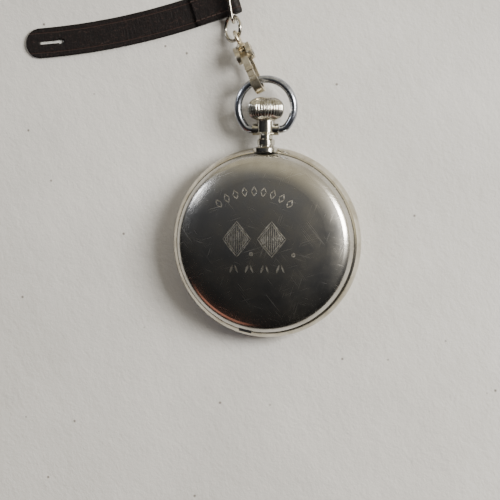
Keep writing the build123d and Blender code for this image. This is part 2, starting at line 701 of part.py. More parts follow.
def numeral_strokes(text, height):
    """Straight strokes of a numeral: (start, end, width), centred on the origin."""
    width = sum(STROKE_GAP[letter] for letter in text)
    place, strokes = -width / 2, []
    for letter in text:
        middle = place + STROKE_GAP[letter] / 2
        low, high = -height / 2, height / 2
        if letter == "I":
            strokes.append(((middle, low), (middle, high), 0.42))
        elif letter == "V":
            strokes.append(((middle - 0.6, high), (middle, low), 0.42))
            strokes.append(((middle + 0.6, high), (middle, low), 0.16))
        else:
            strokes.append(((middle - 0.6, high), (middle + 0.6, low), 0.42))
            strokes.append(((middle + 0.6, high), (middle - 0.6, low), 0.16))
        place += STROKE_GAP[letter]
    return strokes


def make_dial_numerals():
    """Raised hour numerals, read from the front with XII at the pendant."""
    body = None
    for index, text in enumerate(NUMERALS):
        if index == 6:
            continue
        angle = 30 * index
        for start, end, width in numeral_strokes(text, 3.6):
            stroke = bar((-start[0], start[1]), (-end[0], end[1]), width, DIAL_Z - 0.09, DIAL_Z)
            placed = Location((0, 0, 0), (0, 0, angle)) * Location((0, 16.2, 0)) * stroke
            body = placed if body is None else body + placed
    return body


def make_minute_track():
    """Raised minute dots, larger at the hours, and the seconds dots."""
    body = None
    for index in range(60):
        size = 0.62 if index % 5 == 0 else 0.34
        dot = rod(size / 2, DIAL_Z - 0.08, DIAL_Z, point_at((0, 0), 90 + 6 * index, 19.4), 8)
        body = dot if body is None else body + dot
    for index in range(12):
        spot = point_at(FOURTH_AT, 90 + 30 * index, 4.1)
        body = body + rod(0.16, DIAL_Z + 0.07, DIAL_Z + 0.15, spot, 8)
    return body


def hand(outline, low, high, tube_r, bore_r, tube_top, turn, at=(0.0, 0.0)):
    """Hand blade from a plan outline, with its tube."""
    blade = prism(outline, low, high)
    body = blade + disc(tube_r, low, tube_top)
    body = body - disc(bore_r, low - 1, tube_top + 1)
    return Location((at[0], at[1], 0), (0, 0, turn)) * body


def spade_outline(length, head, width):
    """Blade that widens into a spade near its tip."""
    right = [(1.3, 0.0), (width, 1.2), (width * 0.8, length - 2.4 * head), (head, length - 1.6 * head),
             (head * 0.45, length - 0.9 * head), (0.12, length)]
    left = [(-x, y) for x, y in right[::-1]]
    return right + left + [(-0.9, -0.9), (0.9, -0.9)]


def make_hands():
    """Hour, minute and seconds hands."""
    hour = hand(spade_outline(10.4, 1.5, 0.42), 3.34, 3.5, 1.35, 1.0, 3.7, 59.0)
    minute = hand(spade_outline(15.4, 1.0, 0.34), 2.84, 3.0, 0.95, 0.6, 3.2, 348.0)
    outline = [(0.22, -1.6), (0.2, 0.0), (0.06, 3.9), (-0.06, 3.9), (-0.2, 0.0), (-0.22, -1.6)]
    second = hand(outline, 3.72, 3.84, 0.42, 0.2, DIAL_Z - 0.04, 205.0, FOURTH_AT)
    return hour, minute, second


# ---- motion works, on the dial side of the plate ----
def make_motion_works(centre_phase):
    """Cannon pinion, minute wheel with pinion, hour wheel and setting wheel."""
    cannon_module = MINUTE_MODULE
    cannon = rod(0.6, 2.7, PLATE_Z - 0.04) + gear(
        CANNON_TEETH, cannon_module, 4.92, 5.24, CENTRE_AT, centre_phase
    )
    cannon = cannon - rod(0.33, 2.6, 6.0)
    minute_phase = mesh_phase(centre_phase, CANNON_TEETH, CENTRE_AT, MINUTE_TEETH, MINUTE_AT)
    wheel = gear(MINUTE_TEETH, MINUTE_MODULE, 4.95, 5.2, MINUTE_AT, minute_phase)
    wheel = wheel + gear(MINUTE_LEAVES, HOUR_MODULE, 4.56, 4.95, MINUTE_AT, 0.0)
    wheel = wheel - rod(0.3, 4.5, 5.3, MINUTE_AT)
    hour_phase = mesh_phase(0.0, MINUTE_LEAVES, MINUTE_AT, HOUR_TEETH, CENTRE_AT)
    hour = gear(HOUR_TEETH, HOUR_MODULE, 4.6, 4.84, CENTRE_AT, hour_phase) + rod(1.0, 3.3, 4.6)
    hour = hour - rod(0.72, 3.0, 5.0)
    setting_phase = mesh_phase(minute_phase, MINUTE_TEETH, MINUTE_AT, SETTING_TEETH, SETTING_AT)
    setting = gear(SETTING_TEETH, MINUTE_MODULE, 4.95, 5.2, SETTING_AT, setting_phase)
    setting = setting - rod(0.5, 4.5, 5.3, SETTING_AT)
    return cannon, wheel, hour, setting


# ---- plates, bridges, cocks ----
def winding_slots():
    """Openings in the plate for the winding pinion and the clutch."""
    return block(-2.2, 2.2, 15.75, 17.45, 4, 9) + block(-1.6, 1.6, 12.3, 15.8, 4, 9)


def pillar_bores(places, low, high):
    """Clear holes for the shanks of the bridge screws."""
    holes = None
    for place in places:
        one = disc(0.42, low, high, place)
        holes = one if holes is None else holes + one
    return holes


BRIDGE_SCREWS = [point_at((0, 0), angle, 20.25) for angle in (8.0, 118.0, 160.0, 282.0, 338.0)]
COCK_SCREW = point_at((0, 0), 204.2, 20.2)
SINK_Z = 9.9              # seat of the sunk screw heads
PALLET_SCREW = (-11.6, -13.2)
LOW_PIVOTS = (THIRD_AT, FOURTH_AT, ESCAPE_AT, FORK_AT, BALANCE_AT)


def make_mainplate():
    """Round plate with the barrel recess, pivot bores, stem bore and posts."""
    plate = disc(PLATE_R, PLATE_Z, PLATE_TOP) + disc(SEAT_R - 0.05, PLATE_Z, PLATE_Z + 0.5)
    plate = plate - disc(8.98, BARREL_Z - 0.1, PLATE_TOP + 1, BARREL_AT)
    plate = plate - disc(1.9, BARREL_Z + 0.3, PLATE_TOP + 1) - disc(0.66, PLATE_Z - 1, PLATE_TOP + 1)
    plate = plate - winding_slots()
    plate = plate - along_y(disc(STEM_R + RUN, 12.0, 30)) - along_y(disc(0.42 + RUN, 11.0, 13.5))
    plate = cut_bores(plate, JEWEL_R, LOW_PIVOTS, PLATE_TOP - 0.5, PLATE_TOP + 1)
    plate = cut_bores(plate, 0.3, LOW_PIVOTS, PLATE_Z - 1, PLATE_TOP)
    plate = plate - disc(1.25 + RUN, PLATE_Z + 0.25, PLATE_TOP, BARREL_AT)
    plate = cut_bores(plate, 0.42, BRIDGE_SCREWS + [COCK_SCREW, PALLET_SCREW], PLATE_Z + 0.6, PLATE_TOP + 1)
    for angle in (100.0, 215.0, 325.0):
        plate = plate - disc(0.45, PLATE_Z - 1, PLATE_Z + 0.7, point_at((0, 0), angle, 19.2))
    plate = plate + rod(0.26, 4.6, PLATE_Z + 0.1, MINUTE_AT) + rod(0.45, 4.7, PLATE_Z + 0.1, SETTING_AT)
    for place in case_screw_places():
        plate = plate - disc(0.45, PLATE_TOP - 1.2, PLATE_TOP + 1, place)
    plate = plate - disc(0.5, PLATE_Z - 1, PLATE_Z + 0.9, LEVER_AT) - disc(0.4, PLATE_Z - 1, PLATE_Z + 0.9, YOKE_AT)
    plate = plate - bar((-0.5, 18.95), (1.4, 18.95), 2.2, PLATE_Z - 1, STEM_Z)
    plate = plate - bar((0, 14.4), (2.4, 14.4), 1.2, PLATE_Z - 1, STEM_Z)
    return plate


LEVER_AT = (3.6, 18.95)
YOKE_AT = (6.4, 16.2)


def under_cover():
    """Space below the back cover that bridges and cocks keep to."""
    edge = PLATE_R - 0.2
    return turned([(0, 0), (edge, 0), (edge, 9.9), (20.2, 10.45), (18.5, 11.35), (0, 11.8)])


def bridge_region(angles, inner=0.0):
    """Plan sector of the movement between two angles."""
    low, high = angles
    points = [point_at((0, 0), low + (high - low) * k / 12, 40.0) for k in range(13)]
    return prism([point_at((0, 0), (low + high) / 2, inner)] + points, 0, 20)


def make_barrel_bridge():
    """Upper half bridge over barrel, crown wheel and centre arbor."""
    slab = disc(PLATE_R - 0.2, BRIDGE_Z, BRIDGE_TOP)
    foot = ring(19.35, PLATE_R - 0.2, PLATE_TOP, BRIDGE_Z)
    keep = block(-30, 30, -1.6, 30, 0, 20) + block(9.0, 30, -9.0, 0, 0, 20)
    body = (slab + foot) & keep
    body = body - disc(BALANCE_CLEAR_R, 0, 20, BALANCE_AT) - block(-30, -12.6, -30, 1.2, 0, 20)
    body = body - disc(1.25 + RUN, 0, 20, BARREL_AT) - disc(1.35, 0, 20, CROWN_WHEEL_AT)
    body = body - disc(JEWEL_R, 0, 20)
    places = BRIDGE_SCREWS[:3] + [BRIDGE_SCREWS[4]]
    body = cut_bores(cut_bores(body, 0.42, places, 0, 20), 0.85, places, SINK_Z, 20)
    body = cut_bores(body, 1.05, case_screw_places(), 0, 20) & under_cover()
    body = cut_bores(body, 0.3, [CLICK_AT], BRIDGE_Z + 0.4, 20)
    return body


def make_train_bridge():
    """Lower bridge over the third, fourth and escape arbors."""
    slab = disc(PLATE_R - 0.2, BRIDGE_Z, BRIDGE_TOP)
    foot = ring(19.35, PLATE_R - 0.2, PLATE_TOP, BRIDGE_Z)
    keep = block(-9.2, 8.75, -30, -1.85, 0, 20)
    body = (slab + foot) & keep
    body = body - disc(BALANCE_CLEAR_R, 0, 20, BALANCE_AT)
    body = body - prism([(-9.3, -30), (-9.3, -12.5), (-6.9, -12.5), (-4.2, -21.5), (-4.2, -30)], 0, 20)
    body = cut_bores(body, JEWEL_R, (THIRD_AT, FOURTH_AT, ESCAPE_AT), 0, 20)
    body = cut_bores(body, 0.42, [BRIDGE_SCREWS[3]], 0, 20)
    return cut_bores(body, 0.85, [BRIDGE_SCREWS[3]], SINK_Z, 20) & under_cover()


def make_pallet_cock():
    """Slim cock over the pallet arbor."""
    arm = bar(PALLET_SCREW, FORK_AT, 1.5, 8.7, 8.98) + disc(0.95, 8.7, 8.98, FORK_AT)
    foot = disc(1.15, PLATE_TOP, 8.98, PALLET_SCREW)
    return arm + foot - disc(0.42, 0, 20, PALLET_SCREW) - disc(JEWEL_R, 0, 20, FORK_AT)


def make_balance_cock():
    """Cock that stands beside the balance and carries its upper pivot."""
    low, high = 10.15, 11.3
    outward = heading((0, 0), BALANCE_AT)
    arm = bar(BALANCE_AT, point_at((0, 0), outward, 20.4), 5.0, low, high)
    head = disc(2.9, low, high, BALANCE_AT)
    foot = ring(19.45, PLATE_R - 0.2, PLATE_TOP, high) & bridge_region((outward - 17, outward + 17))
    body = (arm + head + foot) & under_cover()
    body = body - disc(0.42, 0, 20, COCK_SCREW) - disc(0.85, SINK_Z, 20, COCK_SCREW)
    return body - disc(JEWEL_R, 0, 20, BALANCE_AT)


def make_jewels():
    """Ring jewels pressed in the plate, bridges and cocks."""
    levels = [(THIRD_AT, BRIDGE_Z, BRIDGE_TOP - 0.3), (FOURTH_AT, BRIDGE_Z, BRIDGE_TOP - 0.3),
              (ESCAPE_AT, BRIDGE_Z, BRIDGE_TOP - 0.3), (CENTRE_AT, BRIDGE_Z, BRIDGE_TOP - 0.3),
              (FORK_AT, 8.7, 8.95), (BALANCE_AT, 10.2, 11.0)]
    levels += [(place, PLATE_TOP - 0.5, PLATE_TOP - 0.05) for place in LOW_PIVOTS]
    body = None
    for place, low, high in levels:
        hole = 0.33 + RUN if place == CENTRE_AT else PIVOT_R + 0.04
        one = ring(hole, JEWEL_R, low, high, place)
        body = one if body is None else body + one
    return body


def make_bridge_screws():
    """Slotted screws of the bridges and cocks."""
    body = None
    for place in BRIDGE_SCREWS + [COCK_SCREW]:
        one = screw(place, 0.8, SINK_Z, SINK_Z + 0.38, 0.42, PLATE_Z + 0.7)
        body = one if body is None else body + one
    return body + screw(PALLET_SCREW, 0.65, 8.98, 9.2, 0.42, PLATE_Z + 0.7)


def make_case_screws():
    """Two screws whose heads overlap the band's seat."""
    body = None
    for place in case_screw_places():
        shelf = screw(place, 0.95, SNAP_BACK_Z, SNAP_BACK_Z + 0.4, CASE_SCREW_R, PLATE_TOP - 1.1)
        body = shelf if body is None else body + shelf
    return body & disc(SNAP_BACK_R - RUN - SNAP_WALL - 0.05, 0, 20)


# ---- power and going train ----
def make_barrel():
    """Toothed drum, lid and the coiled mainspring."""
    phase = 0.0
    teeth = gear(BARREL_TEETH, BARREL_MODULE, 6.5, 6.95, BARREL_AT, phase)
    drum = teeth + rod(8.2, BARREL_Z, 7.7, BARREL_AT, 72)
    drum = drum - rod(7.8, BARREL_Z + 0.35, 8.2, BARREL_AT, 72)
    drum = drum - rod(1.25 + RUN, 5, 9, BARREL_AT, 24)
    lid = rod(7.78, 7.45, 7.75, BARREL_AT, 72) - rod(1.25 + RUN, 5, 9, BARREL_AT, 24)
    return drum, lid


def spiral_strip(inner, outer, turns, width, low, high, at, per_turn=20, start=0.0):
    """Flat strip wound from an inner to an outer radius."""
    count = int(turns * per_turn)
    outside, inside = [], []
    for k in range(count + 1):
        angle = start + 360 * k / per_turn
        middle = inner + (outer - inner) * k / count
        outside.append(point_at((0, 0), angle, middle + width / 2))
        inside.append(point_at((0, 0), angle, middle - width / 2))
    return prism(outside + inside[::-1], low, high, at)


def make_barrel_arbor():
    """Arbor through the barrel, squared on top for the ratchet wheel."""
    body = rod(1.18, PLATE_Z + 0.35, BRIDGE_TOP + SHAKE, BARREL_AT, 24)
    body = body + rod(2.2, 6.5, 7.3, BARREL_AT, 24)
    square = Location((BARREL_AT[0], BARREL_AT[1], 10.5), (0, 0, 20)) * Box(1.5, 1.5, 0.6)
    return body + square


def make_ratchet(crown_phase):
    """Ratchet wheel on the barrel arbor's square, with its screw."""
    phase = mesh_phase(crown_phase, CROWN_WHEEL_TEETH, CROWN_WHEEL_AT, RATCHET_TEETH, BARREL_AT)
    low, high = TOP_WHEEL_Z, TOP_WHEEL_Z + TOP_WHEEL_THICK
    wheel = gear(RATCHET_TEETH, TOP_MODULE, low, high, BARREL_AT, phase)
    wheel = wheel - Location((BARREL_AT[0], BARREL_AT[1], 10.5), (0, 0, 20)) * Box(1.5, 1.5, 2)
    cap = screw(BARREL_AT, 1.6, high, high + 0.3, 0.5, 10.8)
    return wheel, cap


def make_crown_wheel():
    """Upper spur wheel and lower face gear on one hub, with its screw."""
    low, high = TOP_WHEEL_Z, TOP_WHEEL_Z + TOP_WHEEL_THICK
    wheel = gear(CROWN_WHEEL_TEETH, TOP_MODULE, low, high, CROWN_WHEEL_AT, 0.0)
    wheel = wheel + rod(1.3, 8.7, low, CROWN_WHEEL_AT, 24)
    pitch_r = WINDER_MODULE * CONTRATE_TEETH / 2
    face = rod(pitch_r + 0.5, 8.72, 9.0, CROWN_WHEEL_AT, 84)
    teeth = None
    for index in range(CONTRATE_TEETH):
        angle = 90 + 360 * index / CONTRATE_TEETH
        start = point_at(CROWN_WHEEL_AT, angle, pitch_r - 0.45)
        end = point_at(CROWN_WHEEL_AT, angle, pitch_r + 0.45)
        one = bar(start, end, 0.2, 8.28, 8.75)
        teeth = one if teeth is None else teeth + one
    cap = screw(CROWN_WHEEL_AT, 1.5, high, high + 0.28, 0.5, 9.6)
    wheel = wheel + face + teeth - disc(0.5, 9.6, 12, CROWN_WHEEL_AT)
    return wheel, cap


def make_winding_pinion():
    """Pinion on the stem, its teeth up into the face gear."""
    shape = gear(WINDER_TEETH, WINDER_MODULE, 0, 0.95, (0, 0), 90 + 180 / WINDER_TEETH)
    shape = shape + ring(0.9, 1.35, -0.35, 0.02) - disc(0.42 + RUN, -1, 2)
    return along_y(shape, 16.12)


def make_clutch():
    """Clutch sleeve with a groove, square-bored for the stem."""
    profile = [(0, 13.45), (1.4, 13.45), (1.4, 14.0), (1.0, 14.0), (1.0, 14.8), (1.4, 14.8), (1.4, 15.72), (0, 15.72)]
    body = turned(profile) - block(-0.45, 0.45, -0.45, 0.45, 13, 16)
    return along_y(body)


def wheel_on_arbor(spec):
    """Wheel and pinion on one arbor with pivots at both ends."""
    teeth, module, low, high, phase = spec["wheel"]
    leaves, leaf_module, leaf_low, leaf_high, leaf_phase = spec["pinion"]
    at = spec["at"]
    body = gear(teeth, module, low, high, at, phase)
    body = crossed(body, module, teeth, spec["hub"], at, spec["spokes"], low, high)
    body = body + gear(leaves, leaf_module, leaf_low, leaf_high, at, leaf_phase)
    body = body + rod(spec["arbor"], PLATE_TOP + 0.04, BRIDGE_Z - 0.04, at, 16)
    return body + rod(PIVOT_R, PLATE_TOP - 0.45, BRIDGE_Z + 0.6, at, 12)


def make_train():
    """Centre, third, fourth and escape wheels in mesh with the barrel."""
    centre_leaf = mesh_phase(0.0, BARREL_TEETH, BARREL_AT, CENTRE_LEAVES, CENTRE_AT)
    centre = gear(CENTRE_TEETH, CENTRE_MODULE, 8.15, 8.4, CENTRE_AT, 0.0)
    centre = crossed(centre, CENTRE_MODULE, CENTRE_TEETH, 1.7, CENTRE_AT, 5, 8.15, 8.4)
    centre = centre + gear(CENTRE_LEAVES, BARREL_MODULE, 6.4, 7.4, CENTRE_AT, centre_leaf)
    centre = centre + rod(0.6, PLATE_Z + 0.1, BRIDGE_Z - 0.04) + rod(0.32, 2.75, BRIDGE_TOP - 0.35)
    third_leaf = mesh_phase(0.0, CENTRE_TEETH, CENTRE_AT, THIRD_LEAVES, THIRD_AT)
    third = wheel_on_arbor({
        "wheel": (THIRD_TEETH, THIRD_MODULE, 8.6, 8.82, 0.0), "hub": 1.4, "spokes": 5, "arbor": 0.4,
        "pinion": (THIRD_LEAVES, CENTRE_MODULE, 7.95, 8.6, third_leaf), "at": THIRD_AT,
    })
    fourth_leaf = mesh_phase(0.0, THIRD_TEETH, THIRD_AT, FOURTH_LEAVES, FOURTH_AT)
    fourth = wheel_on_arbor({
        "wheel": (FOURTH_TEETH, FOURTH_MODULE, 7.7, 7.92, 0.0), "hub": 1.3, "spokes": 5, "arbor": 0.36,
        "pinion": (FOURTH_LEAVES, THIRD_MODULE, 8.4, 8.95, fourth_leaf), "at": FOURTH_AT,
    })
    fourth = fourth + rod(PIVOT_R, DIAL_Z - 0.2, PLATE_TOP, FOURTH_AT, 12)
    escape_leaf = mesh_phase(0.0, FOURTH_TEETH, FOURTH_AT, ESCAPE_LEAVES, ESCAPE_AT)
    escape = make_escape(escape_leaf)
    return centre, third, fourth, escape


def make_escape(leaf_phase):
    """Club-toothed escape wheel with its pinion."""
    points = []
    for index in range(ESCAPE_TEETH):
        start = 360 * index / ESCAPE_TEETH
        for turn, r in ((0, 2.2), (5.5, 2.25), (9.5, 2.98), (12.0, ESCAPE_R), (12.5, 2.9), (10.5, 2.2)):
            points.append(point_at((0, 0), start + turn, r))
    low, high = 8.15, 8.35
    body = prism(points, low, high, ESCAPE_AT)
    body = crossed(body, 1.0, 6.4, 0.95, ESCAPE_AT, 4, low, high)
    body = body + gear(ESCAPE_LEAVES, FOURTH_MODULE, 7.55, 8.05, ESCAPE_AT, leaf_phase)
    body = body + rod(0.3, PLATE_TOP + 0.04, BRIDGE_Z - 0.04, ESCAPE_AT, 12)
    return body + rod(PIVOT_R, PLATE_TOP - 0.45, BRIDGE_Z + 0.6, ESCAPE_AT, 12)


def make_pallet_fork():
    """Lever with two stones, standing just clear above the escape wheel."""
    low, high = 8.41, 8.62
    line = heading(FORK_AT, BALANCE_AT)
    reach = math.dist(FORK_AT, BALANCE_AT) - 1.0
    tail = point_at(FORK_AT, line, reach - 0.55)
    body = bar(FORK_AT, tail, 0.5, low, high)
    for side in (-1, 1):
        horn_base = point_at(tail, line + 90 * side, 0.3)
        horn = point_at(horn_base, line, 0.55)
        body = body + bar(tail, horn_base, 0.3, low, high) + bar(horn_base, horn, 0.22, low, high)
        arm_end = point_at(FORK_AT, line + 180 - side * 62, 1.75)
        stone_end = point_at(arm_end, line + 180, 0.9)
        body = body + bar(FORK_AT, arm_end, 0.45, low, high) + bar(arm_end, stone_end, 0.4, low, high)
    body = body + rod(0.55, low, high, FORK_AT, 16) + rod(0.28, PLATE_TOP + 0.04, 8.66, FORK_AT, 12)
    return body + rod(PIVOT_R, PLATE_TOP - 0.45, 8.93, FORK_AT, 12)


def make_balance():
    """Two-armed balance with rim screws, and its staff with roller."""
    low, high = 9.15, 9.7
    wheel = rod(BALANCE_R, low, high, BALANCE_AT, 72) - rod(BALANCE_R - 0.6, low - 1, high + 1, BALANCE_AT, 72)
    tips = [point_at(BALANCE_AT, angle, BALANCE_R - 0.3) for angle in (35, 215)]
    wheel = wheel + bar(tips[0], tips[1], 0.8, low, low + 0.25) + rod(1.1, low, low + 0.3, BALANCE_AT, 20)
    for index in range(14):
        angle = 35 + 360 * (index + 0.5) / 14
        inner = point_at(BALANCE_AT, angle, BALANCE_R - 0.3)
        outer = point_at(BALANCE_AT, angle, BALANCE_R + 0.38)
        wheel = wheel + bar(inner, outer, 0.46, low + 0.06, high - 0.06)
    wheel = wheel - rod(0.45, low - 1, high + 1, BALANCE_AT, 20)
    staff = rod(0.45, 8.9, 9.95, BALANCE_AT, 20) + rod(0.3, 7.36, 10.1, BALANCE_AT, 16)
    staff = staff + rod(PIVOT_R, PLATE_TOP - 0.45, 10.9, BALANCE_AT, 12) + rod(1.3, 8.78, 8.98, BALANCE_AT, 36)
    pin_at = point_at(BALANCE_AT, heading(BALANCE_AT, FORK_AT), 0.85)
    staff = staff + rod(0.15, 8.68, 8.8, pin_at, 12)
    return wheel, staff


def make_hairspring():
    """Flat hairspring, its stud and the regulator above it."""
    low, high = 9.82, 9.98
    spring = spiral_strip(0.75, 3.5, 8, 0.09, low, high, BALANCE_AT)
    end = point_at(BALANCE_AT, 0, 3.5)
    stud = rod(0.28, low, 10.15, end, 12) + bar(end, point_at(BALANCE_AT, 0, 2.5), 0.5, 10.02, 10.15)
    regulator = ring(0.7, 1.25, 11.36, 11.56, BALANCE_AT)
    pointer = bar(point_at(BALANCE_AT, 150, 1.2), point_at(BALANCE_AT, 150, 4.6), 0.4, 11.36, 11.56)
    return spring, stud, regulator + pointer + ring(0.7, 1.1, 11.3, 11.36, BALANCE_AT)


def make_click():
    """Click beside the ratchet wheel on its post, and the click's spring."""
    low, high = TOP_WHEEL_Z, TOP_WHEEL_Z + 0.4
    nose_at = point_at(BARREL_AT, -3.0, RATCHET_TEETH * TOP_MODULE / 2 + 0.55)
    body = rod(0.95, low, high, CLICK_AT, 24) + bar(CLICK_AT, nose_at, 0.7, low, high)
    body = body - disc(0.35 + RUN, low - 1, high + 1, CLICK_AT)
    post = disc(0.3, BRIDGE_Z + 0.5, high + SHAKE, CLICK_AT) + disc(0.35, BRIDGE_TOP, high + SHAKE, CLICK_AT)
    post = post + disc(0.7, high + SHAKE, high + 0.25, CLICK_AT)
    foot = point_at(BARREL_AT, -52.0, 9.2)
    touch = point_at(CLICK_AT, heading(BARREL_AT, CLICK_AT) + 8, 1.3)
    spring = disc(0.7, BRIDGE_TOP, high, foot) + bar(foot, touch, 0.25, BRIDGE_TOP, high)
    return body, post, spring


def make_setting_parts():
    """Setting lever with its pin in the stem's groove, and the yoke in the clutch's."""
    lever = bar(LEVER_AT, (0, LEVER_AT[1]), 1.0, 4.72, 5.2) + disc(0.9, 4.72, 5.2, LEVER_AT)
    lever = lever + disc(0.45, 5.2, PLATE_Z + 0.8, LEVER_AT) + disc(0.22, 5.2, STEM_Z - 0.4, (0, LEVER_AT[1]))
    yoke = bar(YOKE_AT, (1.7, 14.4), 0.9, 4.72, 5.2) + disc(0.8, 4.72, 5.2, YOKE_AT)
    yoke = yoke + disc(0.4, 5.2, PLATE_Z + 0.8, YOKE_AT) + disc(0.25, 5.2, STEM_Z - 0.35, (1.3, 14.4))
    yoke = yoke + bar((1.7, 14.4), (1.2, 14.4), 0.7, 4.72, 5.2)
    return lever, yoke


def main():
    """Build and save every piece."""
    os.makedirs("parts", exist_ok=True)
    hour_hand, minute_hand, seconds_hand = make_hands()
    cannon, minute_wheel, hour_wheel, setting_wheel = make_motion_works(0.0)
    drum, lid = make_barrel()
    centre, third, fourth, escape = make_train()
    ratchet, ratchet_screw = make_ratchet(0.0)
    crown_wheel, crown_wheel_screw = make_crown_wheel()
    balance, staff = make_balance()
    hairspring, stud, regulator = make_hairspring()
    click, click_post, click_spring = make_click()
    lever, yoke = make_setting_parts()
    pieces = {
        "case_middle": make_case_middle(), "back_cover": make_back_cover(), "bezel": make_bezel(),
        "crystal": make_crystal(), "pendant": make_pendant(), "stem_sleeve": make_stem_sleeve(),
        "crown": make_crown(), "crown_gasket": make_crown_gasket(), "winding_stem": make_winding_stem(),
        "bow": make_bow(), "swivel_hook": make_swivel_hook(), "swivel_gate": make_swivel_gate(),
        "gate_pin": make_gate_pin(), "gate_spring": make_gate_spring(), "swivel_shank": make_swivel_shank(),
        "jump_ring": make_jump_ring(), "bail": make_bail(), "strap": make_strap(),
        "strap_stitches": make_strap_stitches(), "dial": make_dial(), "dial_markers": make_dial_numerals() + make_minute_track(),
        "hour_hand": hour_hand, "minute_hand": minute_hand,
        "seconds_hand": seconds_hand, "cannon_pinion": cannon, "minute_wheel": minute_wheel,
        "hour_wheel": hour_wheel, "setting_wheel": setting_wheel, "mainplate": make_mainplate(),
        "barrel_bridge": make_barrel_bridge(), "train_bridge": make_train_bridge(),
        "pallet_cock": make_pallet_cock(), "balance_cock": make_balance_cock(), "jewels": make_jewels(),
        "bridge_screws": make_bridge_screws(), "case_screws": make_case_screws(), "barrel_drum": drum,
        "barrel_lid": lid, "mainspring": spiral_strip(2.75, 7.55, 7, 0.2, 6.42, 7.4, BARREL_AT),
        "barrel_arbor": make_barrel_arbor(), "ratchet_wheel": ratchet, "ratchet_screw": ratchet_screw,
        "crown_wheel": crown_wheel, "crown_wheel_screw": crown_wheel_screw,
        "winding_pinion": make_winding_pinion(), "clutch_wheel": make_clutch(), "centre_wheel": centre,
        "third_wheel": third, "fourth_wheel": fourth, "escape_wheel": escape,
        "pallet_fork": make_pallet_fork(), "balance_wheel": balance, "balance_staff": staff,
        "hairspring": hairspring, "hairspring_stud": stud, "regulator": regulator, "click": click,
        "click_mount": click_post + click_spring, "setting_lever": lever, "yoke": yoke,
    }
    for name, shape in pieces.items():
        save(name, shape)


main()
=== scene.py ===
"""Looks of an open-face pocket watch with swivel clasp, split ring, bail and leather strap."""

import logging
import math
from dataclasses import dataclass, field
from enum import Enum
from typing import Iterable, Optional

import bmesh
import bpy
from mathutils import Matrix, Vector, noise


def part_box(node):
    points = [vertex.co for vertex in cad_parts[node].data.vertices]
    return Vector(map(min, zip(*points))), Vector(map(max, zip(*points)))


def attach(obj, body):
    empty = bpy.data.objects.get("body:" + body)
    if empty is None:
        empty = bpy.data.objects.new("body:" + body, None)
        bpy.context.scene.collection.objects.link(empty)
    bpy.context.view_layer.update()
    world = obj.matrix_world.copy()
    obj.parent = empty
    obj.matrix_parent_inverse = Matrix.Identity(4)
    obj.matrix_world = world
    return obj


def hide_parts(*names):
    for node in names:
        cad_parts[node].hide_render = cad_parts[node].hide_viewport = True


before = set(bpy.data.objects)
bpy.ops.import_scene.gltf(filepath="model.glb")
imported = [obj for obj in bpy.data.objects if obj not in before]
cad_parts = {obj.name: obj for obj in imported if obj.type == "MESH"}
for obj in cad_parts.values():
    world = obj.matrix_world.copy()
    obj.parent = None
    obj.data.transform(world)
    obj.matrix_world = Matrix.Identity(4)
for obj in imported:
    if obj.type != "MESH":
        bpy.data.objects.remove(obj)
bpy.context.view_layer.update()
log = logging.getLogger("pocket_watch")
MM = 0.001
# Heights of a graver cut over the surface, in millimetres: its floor and its raised edge.
CUT_FLOOR, CUT_EDGE = 0.002, 0.016
# Leaves in the arc, degrees between two, radius of the arc and its middle, in millimetres.
ARC_LEAVES, ARC_STEP, ARC_R, ARC_AT = 9, 9.5, 15.2, (-2.0, -1.6)
# Fullness of the crown's ball, along its axis and across it.
BALL_ALONG, BALL_ACROSS = 2.6, 2.3
# Outer and inner radius of the strap's fold around the bail, in millimetres.
FOLD_OUTER, FOLD_INNER = 1.55, 0.55
# Where the pressed guide line runs, as a share of the strap's half width.
GUIDE_LINE = 0.66
# Length of flap that lies on the plain part, in millimetres.
FLAP_LAP = 2.0
# Gap between the watch and the table top, and half the table's side, in metres.
TABLE_GAP, TABLE_HALF = 0.00002, 1.2


# ---------------------------------------------------------------- small helpers
def linear(hex_colour: str) -> tuple[float, float, float, float]:
    """Turn an sRGB hex colour into linear RGBA.

    Args:
        hex_colour: Six hex digits, such as "c8b48a".

    Returns:
        The colour in linear light, with an alpha of 1.
    """
    parts = [int(hex_colour[i:i + 2], 16) / 255 for i in (0, 2, 4)]
    light = tuple(c / 12.92 if c <= 0.04045 else ((c + 0.055) / 1.055) ** 2.4 for c in parts)
    return light + (1.0,)


def add_node(tree: bpy.types.NodeTree, kind: str, settings: Optional[dict] = None,
             inputs: Optional[dict] = None) -> bpy.types.Node:
    """Add one shader node with its settings, socket values and links.

    Args:
        tree: The node tree that gets the node.
        kind: The node's type name without its prefix.
        settings: Attribute names and values of the node.
        inputs: Socket names or numbers, each with a value or an output socket to link.

    Returns:
        The new node.
    """
    node = tree.nodes.new("ShaderNode" + kind)
    for name, value in (settings or {}).items():
        setattr(node, name, value)
    for name, value in (inputs or {}).items():
        if isinstance(value, bpy.types.NodeSocket):
            tree.links.new(value, node.inputs[name])
        else:
            node.inputs[name].default_value = value
    return node


def ramp(tree: bpy.types.NodeTree, value: bpy.types.NodeSocket,
         stops: Iterable[tuple[float, str]]) -> bpy.types.NodeSocket:
    """Colour a value through a colour ramp.

    Args:
        tree: The material's node tree.
        value: The socket that is coloured.
        stops: Positions from 0 to 1, each with a hex colour.

    Returns:
        The ramp's colour socket.
    """
    node = add_node(tree, "ValToRGB", None, {0: value})
    elements = node.color_ramp.elements
    for index, (place, colour) in enumerate(stops):
        element = elements[index] if index < 2 else elements.new(place)
        element.position = place
        element.color = linear(colour)
    return node.outputs[0]


